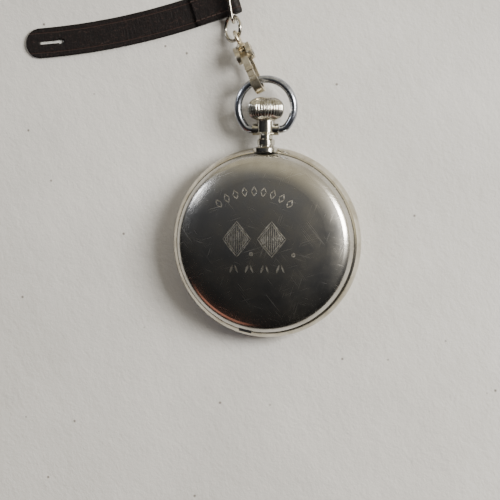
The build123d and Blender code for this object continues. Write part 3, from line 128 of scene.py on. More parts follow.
def new_material(name: str) -> tuple[bpy.types.Material, bpy.types.NodeTree, bpy.types.Node]:
    """Make a node material with one principled shader.

    Args:
        name: The material's name.

    Returns:
        The material, its node tree and its principled node.
    """
    material = bpy.data.materials.new(name)
    material.use_nodes = True
    tree = material.node_tree
    return material, tree, tree.nodes["Principled BSDF"]


def place(tree: bpy.types.NodeTree, scale: tuple[float, float, float] = (1, 1, 1),
          turn: tuple[float, float, float] = (0, 0, 0)) -> bpy.types.NodeSocket:
    """Object coordinates in millimetres, turned and stretched for a pattern.

    Args:
        tree: The material's node tree.
        scale: Stretch along each axis, on top of the change to millimetres.
        turn: Turn about each axis, in degrees.

    Returns:
        The mapped coordinates.
    """
    source = add_node(tree, "TexCoord").outputs["Object"]
    mapping = add_node(tree, "Mapping", {"vector_type": "TEXTURE"}, {
        "Vector": source, "Scale": tuple(MM / s for s in scale),
        "Rotation": tuple(math.radians(a) for a in turn)})
    return mapping.outputs[0]


def piece(name: str, bm: bmesh.types.BMesh, material: bpy.types.Material, body: str,
          stands_for: tuple[str, ...] = (), smooth: bool = True,
          recalc: bool = True) -> bpy.types.Object:
    """Turn a finished bmesh into a piece that rides on a body.

    Args:
        name: The piece's name.
        bm: The mesh, in metres, in the object's own frame.
        material: The finish of the piece.
        body: The body it moves with.
        stands_for: Nodes that the piece replaces.
        smooth: Whether faces are shaded smooth.
        recalc: Whether doubles are merged and normals turned outward.

    Returns:
        The new object.
    """
    if recalc:
        bmesh.ops.remove_doubles(bm, verts=bm.verts, dist=1e-7)
        bmesh.ops.recalc_face_normals(bm, faces=bm.faces)
    mesh = bpy.data.meshes.new(name)
    bm.to_mesh(mesh)
    bm.free()
    mesh.shade_smooth() if smooth else mesh.shade_flat()
    mesh.materials.append(material)
    obj = bpy.data.objects.new(name, mesh)
    bpy.context.scene.collection.objects.link(obj)
    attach(obj, body)
    if stands_for:
        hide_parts(*stands_for)
    log.info("built %s with %d faces", name, len(mesh.polygons))
    return obj


def smooth_by_angle(obj: bpy.types.Object, degrees: float = 35.0) -> bpy.types.Object:
    """Keep edges sharper than an angle crisp."""
    obj.data.set_sharp_from_angle(angle=math.radians(degrees))
    return obj


def spun(profile: Iterable[tuple[float, float]], steps: int = 96,
         closed: bool = True) -> bmesh.types.BMesh:
    """Spin an outline of (radius, level) points in millimetres about the upright axis.

    Args:
        profile: The outline, in order.
        steps: Divisions of the full turn.
        closed: Whether the last point joins the first.

    Returns:
        A bmesh in metres.
    """
    bm = bmesh.new()
    verts = [bm.verts.new((r * MM, 0, z * MM)) for r, z in profile]
    pairs = list(zip(verts, verts[1:])) + ([(verts[-1], verts[0])] if closed else [])
    edges = [bm.edges.new(p) for p in pairs]
    bmesh.ops.spin(bm, geom=verts + edges, cent=(0, 0, 0), axis=(0, 0, 1), angle=math.tau,
                   steps=steps, use_merge=True, use_duplicate=False)
    bmesh.ops.remove_doubles(bm, verts=bm.verts, dist=2e-7)
    return bm


# ---------------------------------------------------------------- finishes
class Layer(Enum):
    """What a pattern of a finish changes."""

    COLOUR = "Base Color"
    ROUGHNESS = "Roughness"
    NORMAL = "Normal"


@dataclass(frozen=True)
class Metal:
    """Worked metal: base colour with tarnish, rubbed patches, hairlines and a soft uneven surface.

    Attributes:
        name: Material name, with how the metal is made.
        clean: Hex colour where the surface is rubbed bright.
        dull: Hex colour where it has darkened.
        shine: Roughness where bright.
        worn: Roughness where dull.
        hairlines: Strength of the fine scratches, 0 for none.
        dimples: Height of the slow waviness, in millimetres.
        brushed: Strength of a straight grain, 0 for none.
        grain_turn: Heading of the grain, in degrees.
        patch: Size of the tarnish patches, in millimetres.
    """

    name: str
    clean: str
    dull: str
    shine: float = 0.12
    worn: float = 0.28
    hairlines: float = 0.5
    dimples: float = 0.004
    brushed: float = 0.0
    grain_turn: float = 0.0
    patch: float = 6.0

    def scratches(self, tree: bpy.types.NodeTree) -> bpy.types.NodeSocket:
        """Random hairlines in four headings, thinned to separate lines.

        Real hairlines are about 0.02 mm wide; they are drawn about 0.1 mm wide, so that they
        still show at arm's length.

        Args:
            tree: The material's node tree.

        Returns:
            A value that is 1 on a scratch and 0 elsewhere.
        """
        total = None
        for turn, length, seed in ((17, 0.035, 0), (71, 0.05, 11), (128, 0.03, 23), (163, 0.06, 37)):
            lines = add_node(tree, "TexNoise", None, {
                "Vector": place(tree, (length * 2.2, 3.4, 0.3), (0, 0, turn)), "Scale": 1.0,
                "Detail": 3.0, "Roughness": 0.55, "Distortion": 0.1})
            gate = add_node(tree, "TexNoise", None, {
                "Vector": place(tree, (0.16, 0.16, 0.16), (0, seed, turn)), "Scale": 1.0,
                "Detail": 1.0})
            edge = add_node(tree, "MapRange", {"interpolation_type": "SMOOTHSTEP"}, {
                "Value": lines.outputs[0], "From Min": 0.60, "From Max": 0.74})
            spots = add_node(tree, "MapRange", None, {
                "Value": gate.outputs[0], "From Min": 0.47, "From Max": 0.62})
            line = add_node(tree, "Math", {"operation": "MULTIPLY"}, {
                0: edge.outputs[0], 1: spots.outputs[0]})
            total = line if total is None else add_node(tree, "Math", {"operation": "MAXIMUM"}, {
                0: total.outputs[0], 1: line.outputs[0]})
        return total.outputs[0]

    def make(self) -> bpy.types.Material:
        """Build the material.

        Returns:
            The finished metal.
        """
        material, tree, skin = new_material(self.name)
        skin.inputs["Metallic"].default_value = 1.0
        size = 1 / self.patch
        patches = add_node(tree, "TexNoise", None, {
            "Vector": place(tree, (size, size, size)), "Scale": 1.0, "Detail": 6.0, "Roughness": 0.62})
        tone = ramp(tree, patches.outputs[0], ((0.36, self.dull), (0.60, self.clean)))
        rough = add_node(tree, "MapRange", None, {
            "Value": patches.outputs[0], "From Min": 0.35, "From Max": 0.62,
            "To Min": self.worn, "To Max": self.shine}).outputs[0]
        wave = add_node(tree, "TexNoise", None, {
            "Vector": place(tree, (0.35, 0.35, 0.35)), "Scale": 1.0, "Detail": 3.0})
        bump = add_node(tree, "Bump", None, {
            "Height": wave.outputs[0], "Distance": self.dimples * MM, "Strength": 1.0})
        if self.brushed:
            grain = add_node(tree, "TexNoise", None, {
                "Vector": place(tree, (0.12, 7.0, 7.0), (0, 0, self.grain_turn)), "Scale": 1.0,
                "Detail": 4.0, "Roughness": 0.7})
            bump = add_node(tree, "Bump", None, {
                "Height": grain.outputs[0], "Distance": 0.01 * MM, "Strength": self.brushed,
                "Normal": bump.outputs[0]})
            rough = add_node(tree, "MapRange", None, {
                "Value": grain.outputs[0], "From Min": 0.3, "From Max": 0.7,
                "To Min": self.shine, "To Max": self.worn}).outputs[0]
        if self.hairlines:
            marks = self.scratches(tree)
            bump = add_node(tree, "Bump", {"invert": True}, {
                "Height": marks, "Distance": 0.006 * MM, "Strength": self.hairlines,
                "Normal": bump.outputs[0]})
            raised = add_node(tree, "Math", {"operation": "MULTIPLY_ADD"}, {
                0: marks, 1: 0.16 * self.hairlines, 2: rough})
            rough = raised.outputs[0]
        tree.links.new(tone, skin.inputs[Layer.COLOUR.value])
        tree.links.new(rough, skin.inputs[Layer.ROUGHNESS.value])
        tree.links.new(bump.outputs[0], skin.inputs[Layer.NORMAL.value])
        return material


@dataclass(frozen=True)
class Coat:
    """Non-metal surface: enamel, jewel, rubber or thread, with mottling and a fine texture.

    Attributes:
        name: Material name, with how it is made.
        light: Hex colour of the lighter mottling.
        dark: Hex colour of the darker mottling.
        shine: Lowest roughness.
        worn: Highest roughness.
        patch: Size of the mottling, in millimetres.
        pore: Size of the surface texture, in millimetres.
        height: Height of the surface texture, in millimetres.
        clear: Share of light let through.
        layer: Clear coat over the surface.
    """

    name: str
    light: str
    dark: str
    shine: float = 0.2
    worn: float = 0.4
    patch: float = 5.0
    pore: float = 0.4
    height: float = 0.004
    clear: float = 0.0
    layer: float = 0.0

    def make(self) -> bpy.types.Material:
        """Build the material.

        Returns:
            The finished coat.
        """
        material, tree, skin = new_material(self.name)
        size, fine = 1 / self.patch, 1 / self.pore
        patches = add_node(tree, "TexNoise", None, {
            "Vector": place(tree, (size, size, size)), "Scale": 1.0, "Detail": 5.0, "Roughness": 0.6})
        tone = ramp(tree, patches.outputs[0], ((0.35, self.dark), (0.65, self.light)))
        rough = add_node(tree, "MapRange", None, {
            "Value": patches.outputs[0], "From Min": 0.35, "From Max": 0.65,
            "To Min": self.worn, "To Max": self.shine})
        pores = add_node(tree, "TexNoise", None, {
            "Vector": place(tree, (fine, fine, fine)), "Scale": 1.0, "Detail": 3.0})
        bump = add_node(tree, "Bump", None, {
            "Height": pores.outputs[0], "Distance": self.height * MM, "Strength": 1.0})
        tree.links.new(tone, skin.inputs[Layer.COLOUR.value])
        tree.links.new(rough.outputs[0], skin.inputs[Layer.ROUGHNESS.value])
        tree.links.new(bump.outputs[0], skin.inputs[Layer.NORMAL.value])
        skin.inputs["Transmission Weight"].default_value = self.clear
        skin.inputs["Coat Weight"].default_value = self.layer
        return material


@dataclass(frozen=True)
class StrapLeather:
    """Vegetable-tanned strap leather, dyed dark brown, rubbed and creased by years of wear.

    The pattern reads the strap's own map, in millimetres along and across it.

    Attributes:
        name: Material name.
        crease_shade_and_edge_dye: Hex colour of the painted shade in the creases, and of the real dark
            dye on the dressed edge.
        body: Hex colour of most of the face.
        rubbed: Hex colour where handling has lightened the dye.
        edge: Distance of the pressed guide line from the middle of the strap, in millimetres.
    """

    name: str = "vegetable_tanned_strap_leather"
    crease_shade_and_edge_dye: str = "040202"
    body: str = "100706"
    rubbed: str = "3d2c27"
    edge: float = 2.65

    def stretched(self, tree: bpy.types.NodeTree, along: float, across: float,
                  turn: float = 0.0) -> bpy.types.NodeSocket:
        """The strap's own map, stretched for one pattern.

        Args:
            tree: The material's node tree.
            along: Cells per millimetre along the strap.
            across: Cells per millimetre across it.
            turn: Slant of the pattern, in degrees.

        Returns:
            The mapped coordinates.
        """
        source = add_node(tree, "UVMap", {"uv_map": "strap_mm"})
        mapping = add_node(tree, "Mapping", None, {
            "Vector": source.outputs[0], "Scale": (along, across, 1),
            "Rotation": (0, 0, math.radians(turn))})
        return mapping.outputs[0]

    def make(self) -> bpy.types.Material:
        """Build the material: cross creases, fine grain, guide lines, rubbed high spots.

        Returns:
            The finished leather.
        """
        material, tree, skin = new_material(self.name)
        # Short creases across the strap, where it bends; their bump breaks the light, and their colour
        # is painted shade, dark lines along each crease.
        creases = add_node(tree, "TexNoise", None, {
            "Vector": self.stretched(tree, 1.9, 0.28, 9), "Scale": 1.0, "Detail": 5.0,
            "Roughness": 0.66, "Distortion": 0.5})
        # Pebbled grain of about 0.4 mm, as calf leather has.
        grain = add_node(tree, "TexVoronoi", {"feature": "F1"}, {
            "Vector": self.stretched(tree, 2.6, 2.2), "Scale": 1.0})
        patches = add_node(tree, "TexNoise", None, {
            "Vector": self.stretched(tree, 0.16, 0.35), "Scale": 1.0, "Detail": 5.0, "Roughness": 0.7})
        # Pale rubbed flecks, longer along the strap than across it.
        flecks = add_node(tree, "TexNoise", None, {
            "Vector": self.stretched(tree, 0.9, 1.7, 20), "Scale": 1.0, "Detail": 8.0,
            "Roughness": 0.75})
        across = add_node(tree, "SeparateXYZ", None, {
            0: add_node(tree, "UVMap", {"uv_map": "strap_mm"}).outputs[0]}).outputs[1]
        out = add_node(tree, "Math", {"operation": "ABSOLUTE"}, {0: across}).outputs[0]
        away = add_node(tree, "Math", {"operation": "SUBTRACT"}, {0: out, 1: self.edge}).outputs[0]
        line = add_node(tree, "MapRange", {"interpolation_type": "SMOOTHSTEP"}, {
            "Value": add_node(tree, "Math", {"operation": "ABSOLUTE"}, {0: away}).outputs[0],
            "From Min": 0.0, "From Max": 0.22, "To Min": 1.0, "To Max": 0.0}).outputs[0]
        # Painted shade: the crease pattern darkens the face toward the dark colour along each crease.
        tone = ramp(tree, creases.outputs[0], ((0.34, self.crease_shade_and_edge_dye), (0.62, self.body)))
        rub = add_node(tree, "MapRange", None, {
            "Value": flecks.outputs[0], "From Min": 0.52, "From Max": 0.70}).outputs[0]
        handled = add_node(tree, "MapRange", None, {
            "Value": patches.outputs[0], "From Min": 0.38, "From Max": 0.58}).outputs[0]
        worn = add_node(tree, "Math", {"operation": "MULTIPLY"}, {0: rub, 1: handled}).outputs[0]
        pale = add_node(tree, "MixRGB", None, {0: worn, 1: tone, 2: linear(self.rubbed)}).outputs[0]
        lined = add_node(tree, "MixRGB", None, {
            0: add_node(tree, "Math", {"operation": "MULTIPLY"}, {0: line, 1: 0.6}).outputs[0],
            1: pale, 2: linear(self.rubbed)}).outputs[0]
        # The outer half millimetre of each side takes the same dark colour, as the real dye on the
        # dressed edge.
        rim = add_node(tree, "MapRange", None, {
            "Value": out, "From Min": 3.5, "From Max": 4.0}).outputs[0]
        colour = add_node(tree, "MixRGB", None, {0: rim, 1: lined, 2: linear(self.crease_shade_and_edge_dye)}).outputs[0]
        height = add_node(tree, "Math", {"operation": "MULTIPLY_ADD"}, {
            0: grain.outputs[0], 1: -0.35, 2: creases.outputs[0]}).outputs[0]
        grooved = add_node(tree, "Math", {"operation": "MULTIPLY_ADD"}, {
            0: line, 1: -0.7, 2: height})
        bump = add_node(tree, "Bump", None, {
            "Height": grooved.outputs[0], "Distance": 0.16 * MM, "Strength": 0.8})
        rough = add_node(tree, "MapRange", None, {
            "Value": creases.outputs[0], "From Min": 0.3, "From Max": 0.7,
            "To Min": 0.72, "To Max": 0.5})
        skin.inputs["Specular IOR Level"].default_value = 0.28
        tree.links.new(colour, skin.inputs[Layer.COLOUR.value])
        tree.links.new(rough.outputs[0], skin.inputs[Layer.ROUGHNESS.value])
        tree.links.new(bump.outputs[0], skin.inputs[Layer.NORMAL.value])
        return material


@dataclass(frozen=True)
class PaintedBoard:
    """Off-white painted table top: soft mottling, brushed-on relief and a few dark specks."""

    name: str = "painted_table_top"
    pale: str = "dddbd6"
    shade: str = "d0cec9"
    speck: str = "6d665e"

    def make(self) -> bpy.types.Material:
        """Build the material.

        Returns:
            The finished table top.
        """
        material, tree, skin = new_material(self.name)
        cloud = add_node(tree, "TexNoise", None, {
            "Vector": place(tree, (0.02, 0.02, 0.02)), "Scale": 1.0, "Detail": 7.0, "Roughness": 0.6})
        tone = ramp(tree, cloud.outputs[0], ((0.35, self.shade), (0.65, self.pale)))
        dots = add_node(tree, "TexVoronoi", {"feature": "F1"}, {
            "Vector": place(tree, (0.15, 0.15, 0.15)), "Scale": 1.0, "Randomness": 1.0})
        near = add_node(tree, "MapRange", None, {
            "Value": dots.outputs["Distance"], "From Min": 0.03, "From Max": 0.07,
            "To Min": 0.85, "To Max": 0.0}).outputs[0]
        few = add_node(tree, "Math", {"operation": "GREATER_THAN"}, {
            0: add_node(tree, "SeparateColor", None, {0: dots.outputs["Color"]}).outputs[0], 1: 0.6})
        spots = add_node(tree, "Math", {"operation": "MULTIPLY"}, {
            0: near, 1: few.outputs[0]}).outputs[0]
        colour = add_node(tree, "MixRGB", None, {0: spots, 1: tone, 2: linear(self.speck)}).outputs[0]
        relief = add_node(tree, "TexNoise", None, {
            "Vector": place(tree, (0.28, 0.2, 0.28), (0, 0, 25)), "Scale": 1.0, "Detail": 6.0,
            "Roughness": 0.68})
        grit = add_node(tree, "TexNoise", None, {
            "Vector": place(tree, (1.1, 1.1, 1.1)), "Scale": 1.0, "Detail": 4.0, "Roughness": 0.6})
        bump = add_node(tree, "Bump", None, {
            "Height": relief.outputs[0], "Distance": 0.5 * MM, "Strength": 0.6,
            "Normal": add_node(tree, "Bump", None, {
                "Height": grit.outputs[0], "Distance": 0.14 * MM, "Strength": 0.7}).outputs[0]})
        rough = add_node(tree, "MapRange", None, {
            "Value": cloud.outputs[0], "To Min": 0.62, "To Max": 0.8})
        tree.links.new(colour, skin.inputs[Layer.COLOUR.value])
        tree.links.new(rough.outputs[0], skin.inputs[Layer.ROUGHNESS.value])
        tree.links.new(bump.outputs[0], skin.inputs[Layer.NORMAL.value])
        return material


# Polished nickel silver of the case: warm white metal, mirror bright, crossed by years of hairlines.
CASE_COVER = Metal("spun_polished_nickel_silver", "cac8c3", "b3afa6", 0.18, 0.27, 0.7, 0.004, patch=9.0)
# The band is less rubbed than the back, so it stays paler and smoother.
CASE_BAND = Metal("turned_nickel_silver_band", "d8d3c6", "b5ae9d", 0.13, 0.24, 0.35, 0.004, patch=5.0)
# The bow is drawn steel wire, which looks cooler than the nickel beside it.
BOW_WIRE = Metal("drawn_steel_bow_wire", "b9bdc6", "84878f", 0.16, 0.30, 0.5, 0.004, patch=2.5)
# Bright plating on the pendant and crown, dulled in random patches.
BRIGHT_PLATE = Metal("nickel_plated_turning", "d2cfc6", "9b968a", 0.10, 0.22, 0.3, 0.003, patch=2.0)
# The clasp is die-struck; its flats have a warm, slightly brassy, brushed look.
CLASP = Metal("die_struck_nickel_clasp", "e2d9c4", "b3a78e", 0.24, 0.40, 0.4, 0.004, 0.25, 64.0, 2.2)
# Thin round wire of the ring and the bail, plated and rubbed.
CHAIN_WIRE = Metal("plated_wire_link", "cbc6ba", "857f74", 0.14, 0.30, 0.4, 0.004, patch=1.8)
# Freshly cut lines of the ornament: brighter and rougher than the dome around them.
CUT_METAL = Metal("bright_cut_nickel_silver", "f1ece0", "bdb7a8", 0.24, 0.42, 0.2, 0.01, 0.6, 40.0, 1.0)
STEEL = Metal("ground_tool_steel", "b4b6b8", "8a8c8f", 0.18, 0.34, 0.3, 0.003, 0.3, 15.0, 3.0)
BLUED = Metal("heat_blued_steel", "1e3c8f", "13245c", 0.14, 0.26, 0.1, 0.002, patch=2.0)
GILT = Metal("fire_gilt_brass", "d9b66a", "b08a42", 0.26, 0.40, 0.15, 0.004, 0.5, 0.0, 5.0)
BRASS = Metal("turned_brass", "cfa860", "a47f3c", 0.20, 0.34, 0.2, 0.003, 0.25, 30.0, 3.0)
ENAMEL = Coat("fired_white_enamel", "f1eee4", "e4dfd1", 0.10, 0.22, 9.0, 1.2, 0.006, 0.0, 0.4)
PRINT = Coat("fired_black_enamel", "1a1918", "0c0b0b", 0.25, 0.40, 2.0, 0.3, 0.003)
CRYSTAL = Coat("ground_crystal_glass", "ffffff", "f2f6f5", 0.02, 0.06, 14.0, 3.0, 0.001, 1.0)
RUBY = Coat("synthetic_ruby", "b3173c", "7d0c28", 0.06, 0.12, 1.0, 0.3, 0.001, 0.35, 0.3)
RUBBER = Coat("moulded_seal_rubber", "262525", "151414", 0.6, 0.8, 1.5, 0.2, 0.006)
THREAD = Coat("waxed_linen_thread", "3f2c25", "1f130f", 0.55, 0.75, 0.6, 0.12, 0.02)


@dataclass
class Wardrobe:
    """Keeps each finish as one material and dresses the carried-over nodes.

    Attributes:
        made: Materials by finish name.
    """

    made: dict[str, bpy.types.Material] = field(default_factory=dict)

    def get(self, finish) -> bpy.types.Material:
        """Material of a finish, built once.

        Args:
            finish: Any finish with a name and make().

        Returns:
            The material.
        """
        if finish.name not in self.made:
            self.made[finish.name] = finish.make()
        return self.made[finish.name]

    def dress(self, nodes: Iterable[str], finish) -> None:
        """Give several carried-over nodes one finish.

        Args:
            nodes: Node names.
            finish: The finish they get.
        """
        for name in nodes:
            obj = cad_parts.get(name)
            if obj is None:
                log.warning("no node %s", name)
                continue
            for index in range(max(1, len(obj.data.materials))):
                if index < len(obj.data.materials):
                    obj.data.materials[index] = self.get(finish)
                else:
                    obj.data.materials.append(self.get(finish))


# ---------------------------------------------------------------- sub-assemblies
@dataclass
class WatchCase:
    """Case shells, pendant, bow and crown, and the ornament cut into the back.

    Attributes:
        wardrobe: Where the finishes are kept.
        ball_r: Radius of the dome's crown, in millimetres.
        ribs: Ribs of the crown.
        rib_depth: Depth of the grooves between the ribs, in millimetres.
        top: Height of the dome, in metres.
    """

    wardrobe: Wardrobe
    ball_r: float = 122.15
    ribs: int = 34
    rib_depth: float = 0.5
    top: float = field(init=False)

    def __post_init__(self) -> None:
        """Measure the top of the dome once."""
        self.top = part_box("back_cover")[1].z

    def dome(self, x: float, y: float) -> float:
        """Height of the back's crown at a place, in metres."""
        return self.top - (self.ball_r - math.sqrt(self.ball_r ** 2 - x * x - y * y)) * MM

    def cut(self, bm: bmesh.types.BMesh, place_at: tuple[float, float], length: float,
            width: float, turn: float) -> None:
        """Add one pointed graver cut, a shallow groove with a raised burr.

        Args:
            bm: The ornament's mesh.
            place_at: Middle of the cut, in millimetres.
            length: Tip to tip, in millimetres.
            width: Widest part, in millimetres.
            turn: Heading in degrees.
        """
        made = bmesh.ops.create_circle(bm, cap_ends=True, radius=1.0, segments=12)
        verts = made["verts"]
        face = verts[0].link_faces[0]
        ends = bmesh.ops.inset_individual(bm, faces=[face], thickness=0.45, depth=0.0)
        low = {v for v in face.verts}
        group = set(verts) | {v for f in ends["faces"] for v in f.verts} | low
        spin = Matrix.Rotation(math.radians(turn), 2)
        for v in group:
            sharp = 1 - 0.25 * abs(v.co.x)
            flat = spin @ Vector((v.co.x * length / 2, v.co.y * sharp * width / 2))
            x, y = place_at[0] + flat.x, place_at[1] + flat.y
            burr = CUT_FLOOR if v in low else CUT_EDGE
            v.co = Vector((x * MM, y * MM, self.dome(x, y) + burr * MM))

    def lozenge(self, bm: bmesh.types.BMesh, middle: tuple[float, float], half: tuple[float, float],
                lines: int, turn: float = 0.0, pen: float = 0.42) -> None:
        """Add an outlined lozenge filled with hatching.

        Args:
            bm: The ornament's mesh.
            middle: Its middle, in millimetres.
            half: Half its width and half its height.
            lines: Hatch cuts inside it.
            turn: Heading in degrees.
            pen: Width of the outline's cuts.
        """
        spin = Matrix.Rotation(math.radians(turn), 2)
        corners = [Vector(c) for c in ((half[0], 0), (0, half[1]), (-half[0], 0), (0, -half[1]))]
        for a, b in zip(corners, corners[1:] + corners[:1]):
            mid = spin @ ((a + b) / 2)
            run = spin @ (b - a)
            self.cut(bm, (middle[0] + mid.x, middle[1] + mid.y), run.length * 1.06, pen,
                     math.degrees(math.atan2(run.y, run.x)))
        for k in range(lines):
            x = half[0] * (2 * (k + 0.5) / lines - 1)
            tall = 2 * half[1] * (1 - abs(x) / half[0]) - 2 * pen
            if tall > pen:
                at = spin @ Vector((x, 0))
                self.cut(bm, (middle[0] + at.x, middle[1] + at.y), tall, 0.24, turn + 90)

    def ornament(self) -> None:
        """Cut an arc of leaves, two hatched lozenges and a row of short bars into the back."""
        bm = bmesh.new()
        for k in range(ARC_LEAVES):
            angle = math.radians(128 - k * ARC_STEP)
            x = ARC_AT[0] + ARC_R * math.cos(angle)
            y = ARC_AT[1] + ARC_R * math.sin(angle)
            self.lozenge(bm, (x, y), (0.72, 1.25), 0, math.degrees(angle) - 90, 0.26)
        for x in (-6.5, 2.7):
            self.lozenge(bm, (x, 1.2), (3.7, 4.6), 15)
            self.lozenge(bm, (x, 1.2), (3.1, 3.9), 0, 0, 0.22)
        for x, y in ((-2.7, -2.6), (8.4, -2.8)):
            self.lozenge(bm, (x, y), (0.5, 0.5), 0)
        for k in range(4):
            self.cut(bm, (-8.0 + 4.1 * k, -6.5), 2.2, 0.6, 70)
            self.cut(bm, (-6.7 + 4.1 * k, -6.5), 2.2, 0.45, 110)
        piece("back_ornament", bm, self.wardrobe.get(CUT_METAL), "cover", recalc=False)

    def crown(self) -> None:
        """Spin the ball crown and press rounded ribs into it, closing toward its top."""
        near_corner, far_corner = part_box("crown")
        low, high = near_corner.y / MM, far_corner.y / MM
        axis_z = (near_corner.z + far_corner.z) / 2
        radius = (far_corner.x - near_corner.x) / 2 / MM
        middle, half = (low + high) / 2, (high - low) / 2
        levels = [i / 24 for i in range(25)]
        outline = []
        for share in levels:
            y = low + (high - low) * share
            out = min(1.0, abs(y - middle) / (half + 0.12))
            outline.append((radius * (1 - out ** BALL_ALONG) ** (1 / BALL_ACROSS), y))
        profile = [(2.7, low + 0.9), (2.7, low + 0.05)] + outline + [(0.3, high)]
        bm = spun(profile, self.ribs * 6, closed=False)
        for vert in bm.verts:
            out = math.hypot(vert.co.x, vert.co.y)
            if out < 2.75 * MM and vert.co.z < (middle + 1) * MM:
                continue
            turn = math.atan2(vert.co.y, vert.co.x) * self.ribs / math.tau
            to_top = (high * MM - vert.co.z) / (0.5 * MM)
            to_foot = (vert.co.z - low * MM) / (0.2 * MM)
            near_end = min(1.0, to_top, to_foot)
            groove = self.rib_depth * (1 - abs(math.cos(math.pi * turn))) * max(0.15, near_end)
            vert.co.xy *= 1 - groove * MM / out if out > groove * MM else 1
        level = max(v.co.z for v in bm.verts)
        rim = [e for e in bm.edges
               if e.is_boundary and all(abs(v.co.z - level) < 1e-5 for v in e.verts)]
        if rim:
            bmesh.ops.holes_fill(bm, edges=rim)
        bmesh.ops.rotate(bm, verts=bm.verts, cent=(0, 0, 0),
                         matrix=Matrix.Rotation(-math.pi / 2, 3, "X"))
        bmesh.ops.translate(bm, verts=bm.verts, vec=(0, 0, axis_z))
        piece("crown_ribbed", bm, self.wardrobe.get(BRIGHT_PLATE), "crown", ("crown",))

    def build(self) -> None:
        """Dress the case, shape the crown and cut the ornament."""
        self.crown()
        self.wardrobe.dress(["back_cover"], CASE_COVER)
        self.wardrobe.dress(["case_middle", "bezel", "case_screws"], CASE_BAND)
        self.wardrobe.dress(["pendant", "stem_sleeve"], BRIGHT_PLATE)
        self.wardrobe.dress(["bow"], BOW_WIRE)
        self.wardrobe.dress(["crystal"], CRYSTAL)
        self.wardrobe.dress(["crown_gasket"], RUBBER)
        self.ornament()
        log.info("case dressed")


@dataclass
class Chain:
    """Swivel clasp, split ring and bail between the bow and the strap."""

    wardrobe: Wardrobe

    def soften(self, node: str, width: float) -> None:
        """Round a struck link's edges, as tumbling does.

        Args:
            node: The carried-over node.
            width: Width of the rounding, in millimetres.
        """
        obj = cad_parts[node]
        weld = obj.modifiers.new("join_corners", "WELD")
        weld.merge_threshold = 1e-6
        bevel = obj.modifiers.new("tumbled_edges", "BEVEL")
        bevel.width = width * MM
        bevel.segments = 3
        bevel.limit_method = "ANGLE"
        bevel.angle_limit = math.radians(35)
        bevel.harden_normals = False

    def build(self) -> None:
        """Round and dress the links."""
        for node, width in (("swivel_hook", 0.38), ("swivel_gate", 0.3), ("swivel_shank", 0.25)):
            self.soften(node, width)
        self.wardrobe.dress(["swivel_hook", "swivel_gate", "swivel_shank"], CLASP)
        self.wardrobe.dress(["jump_ring", "bail"], CHAIN_WIRE)
        self.wardrobe.dress(["gate_pin", "gate_spring"], STEEL)
        log.info("chain dressed")


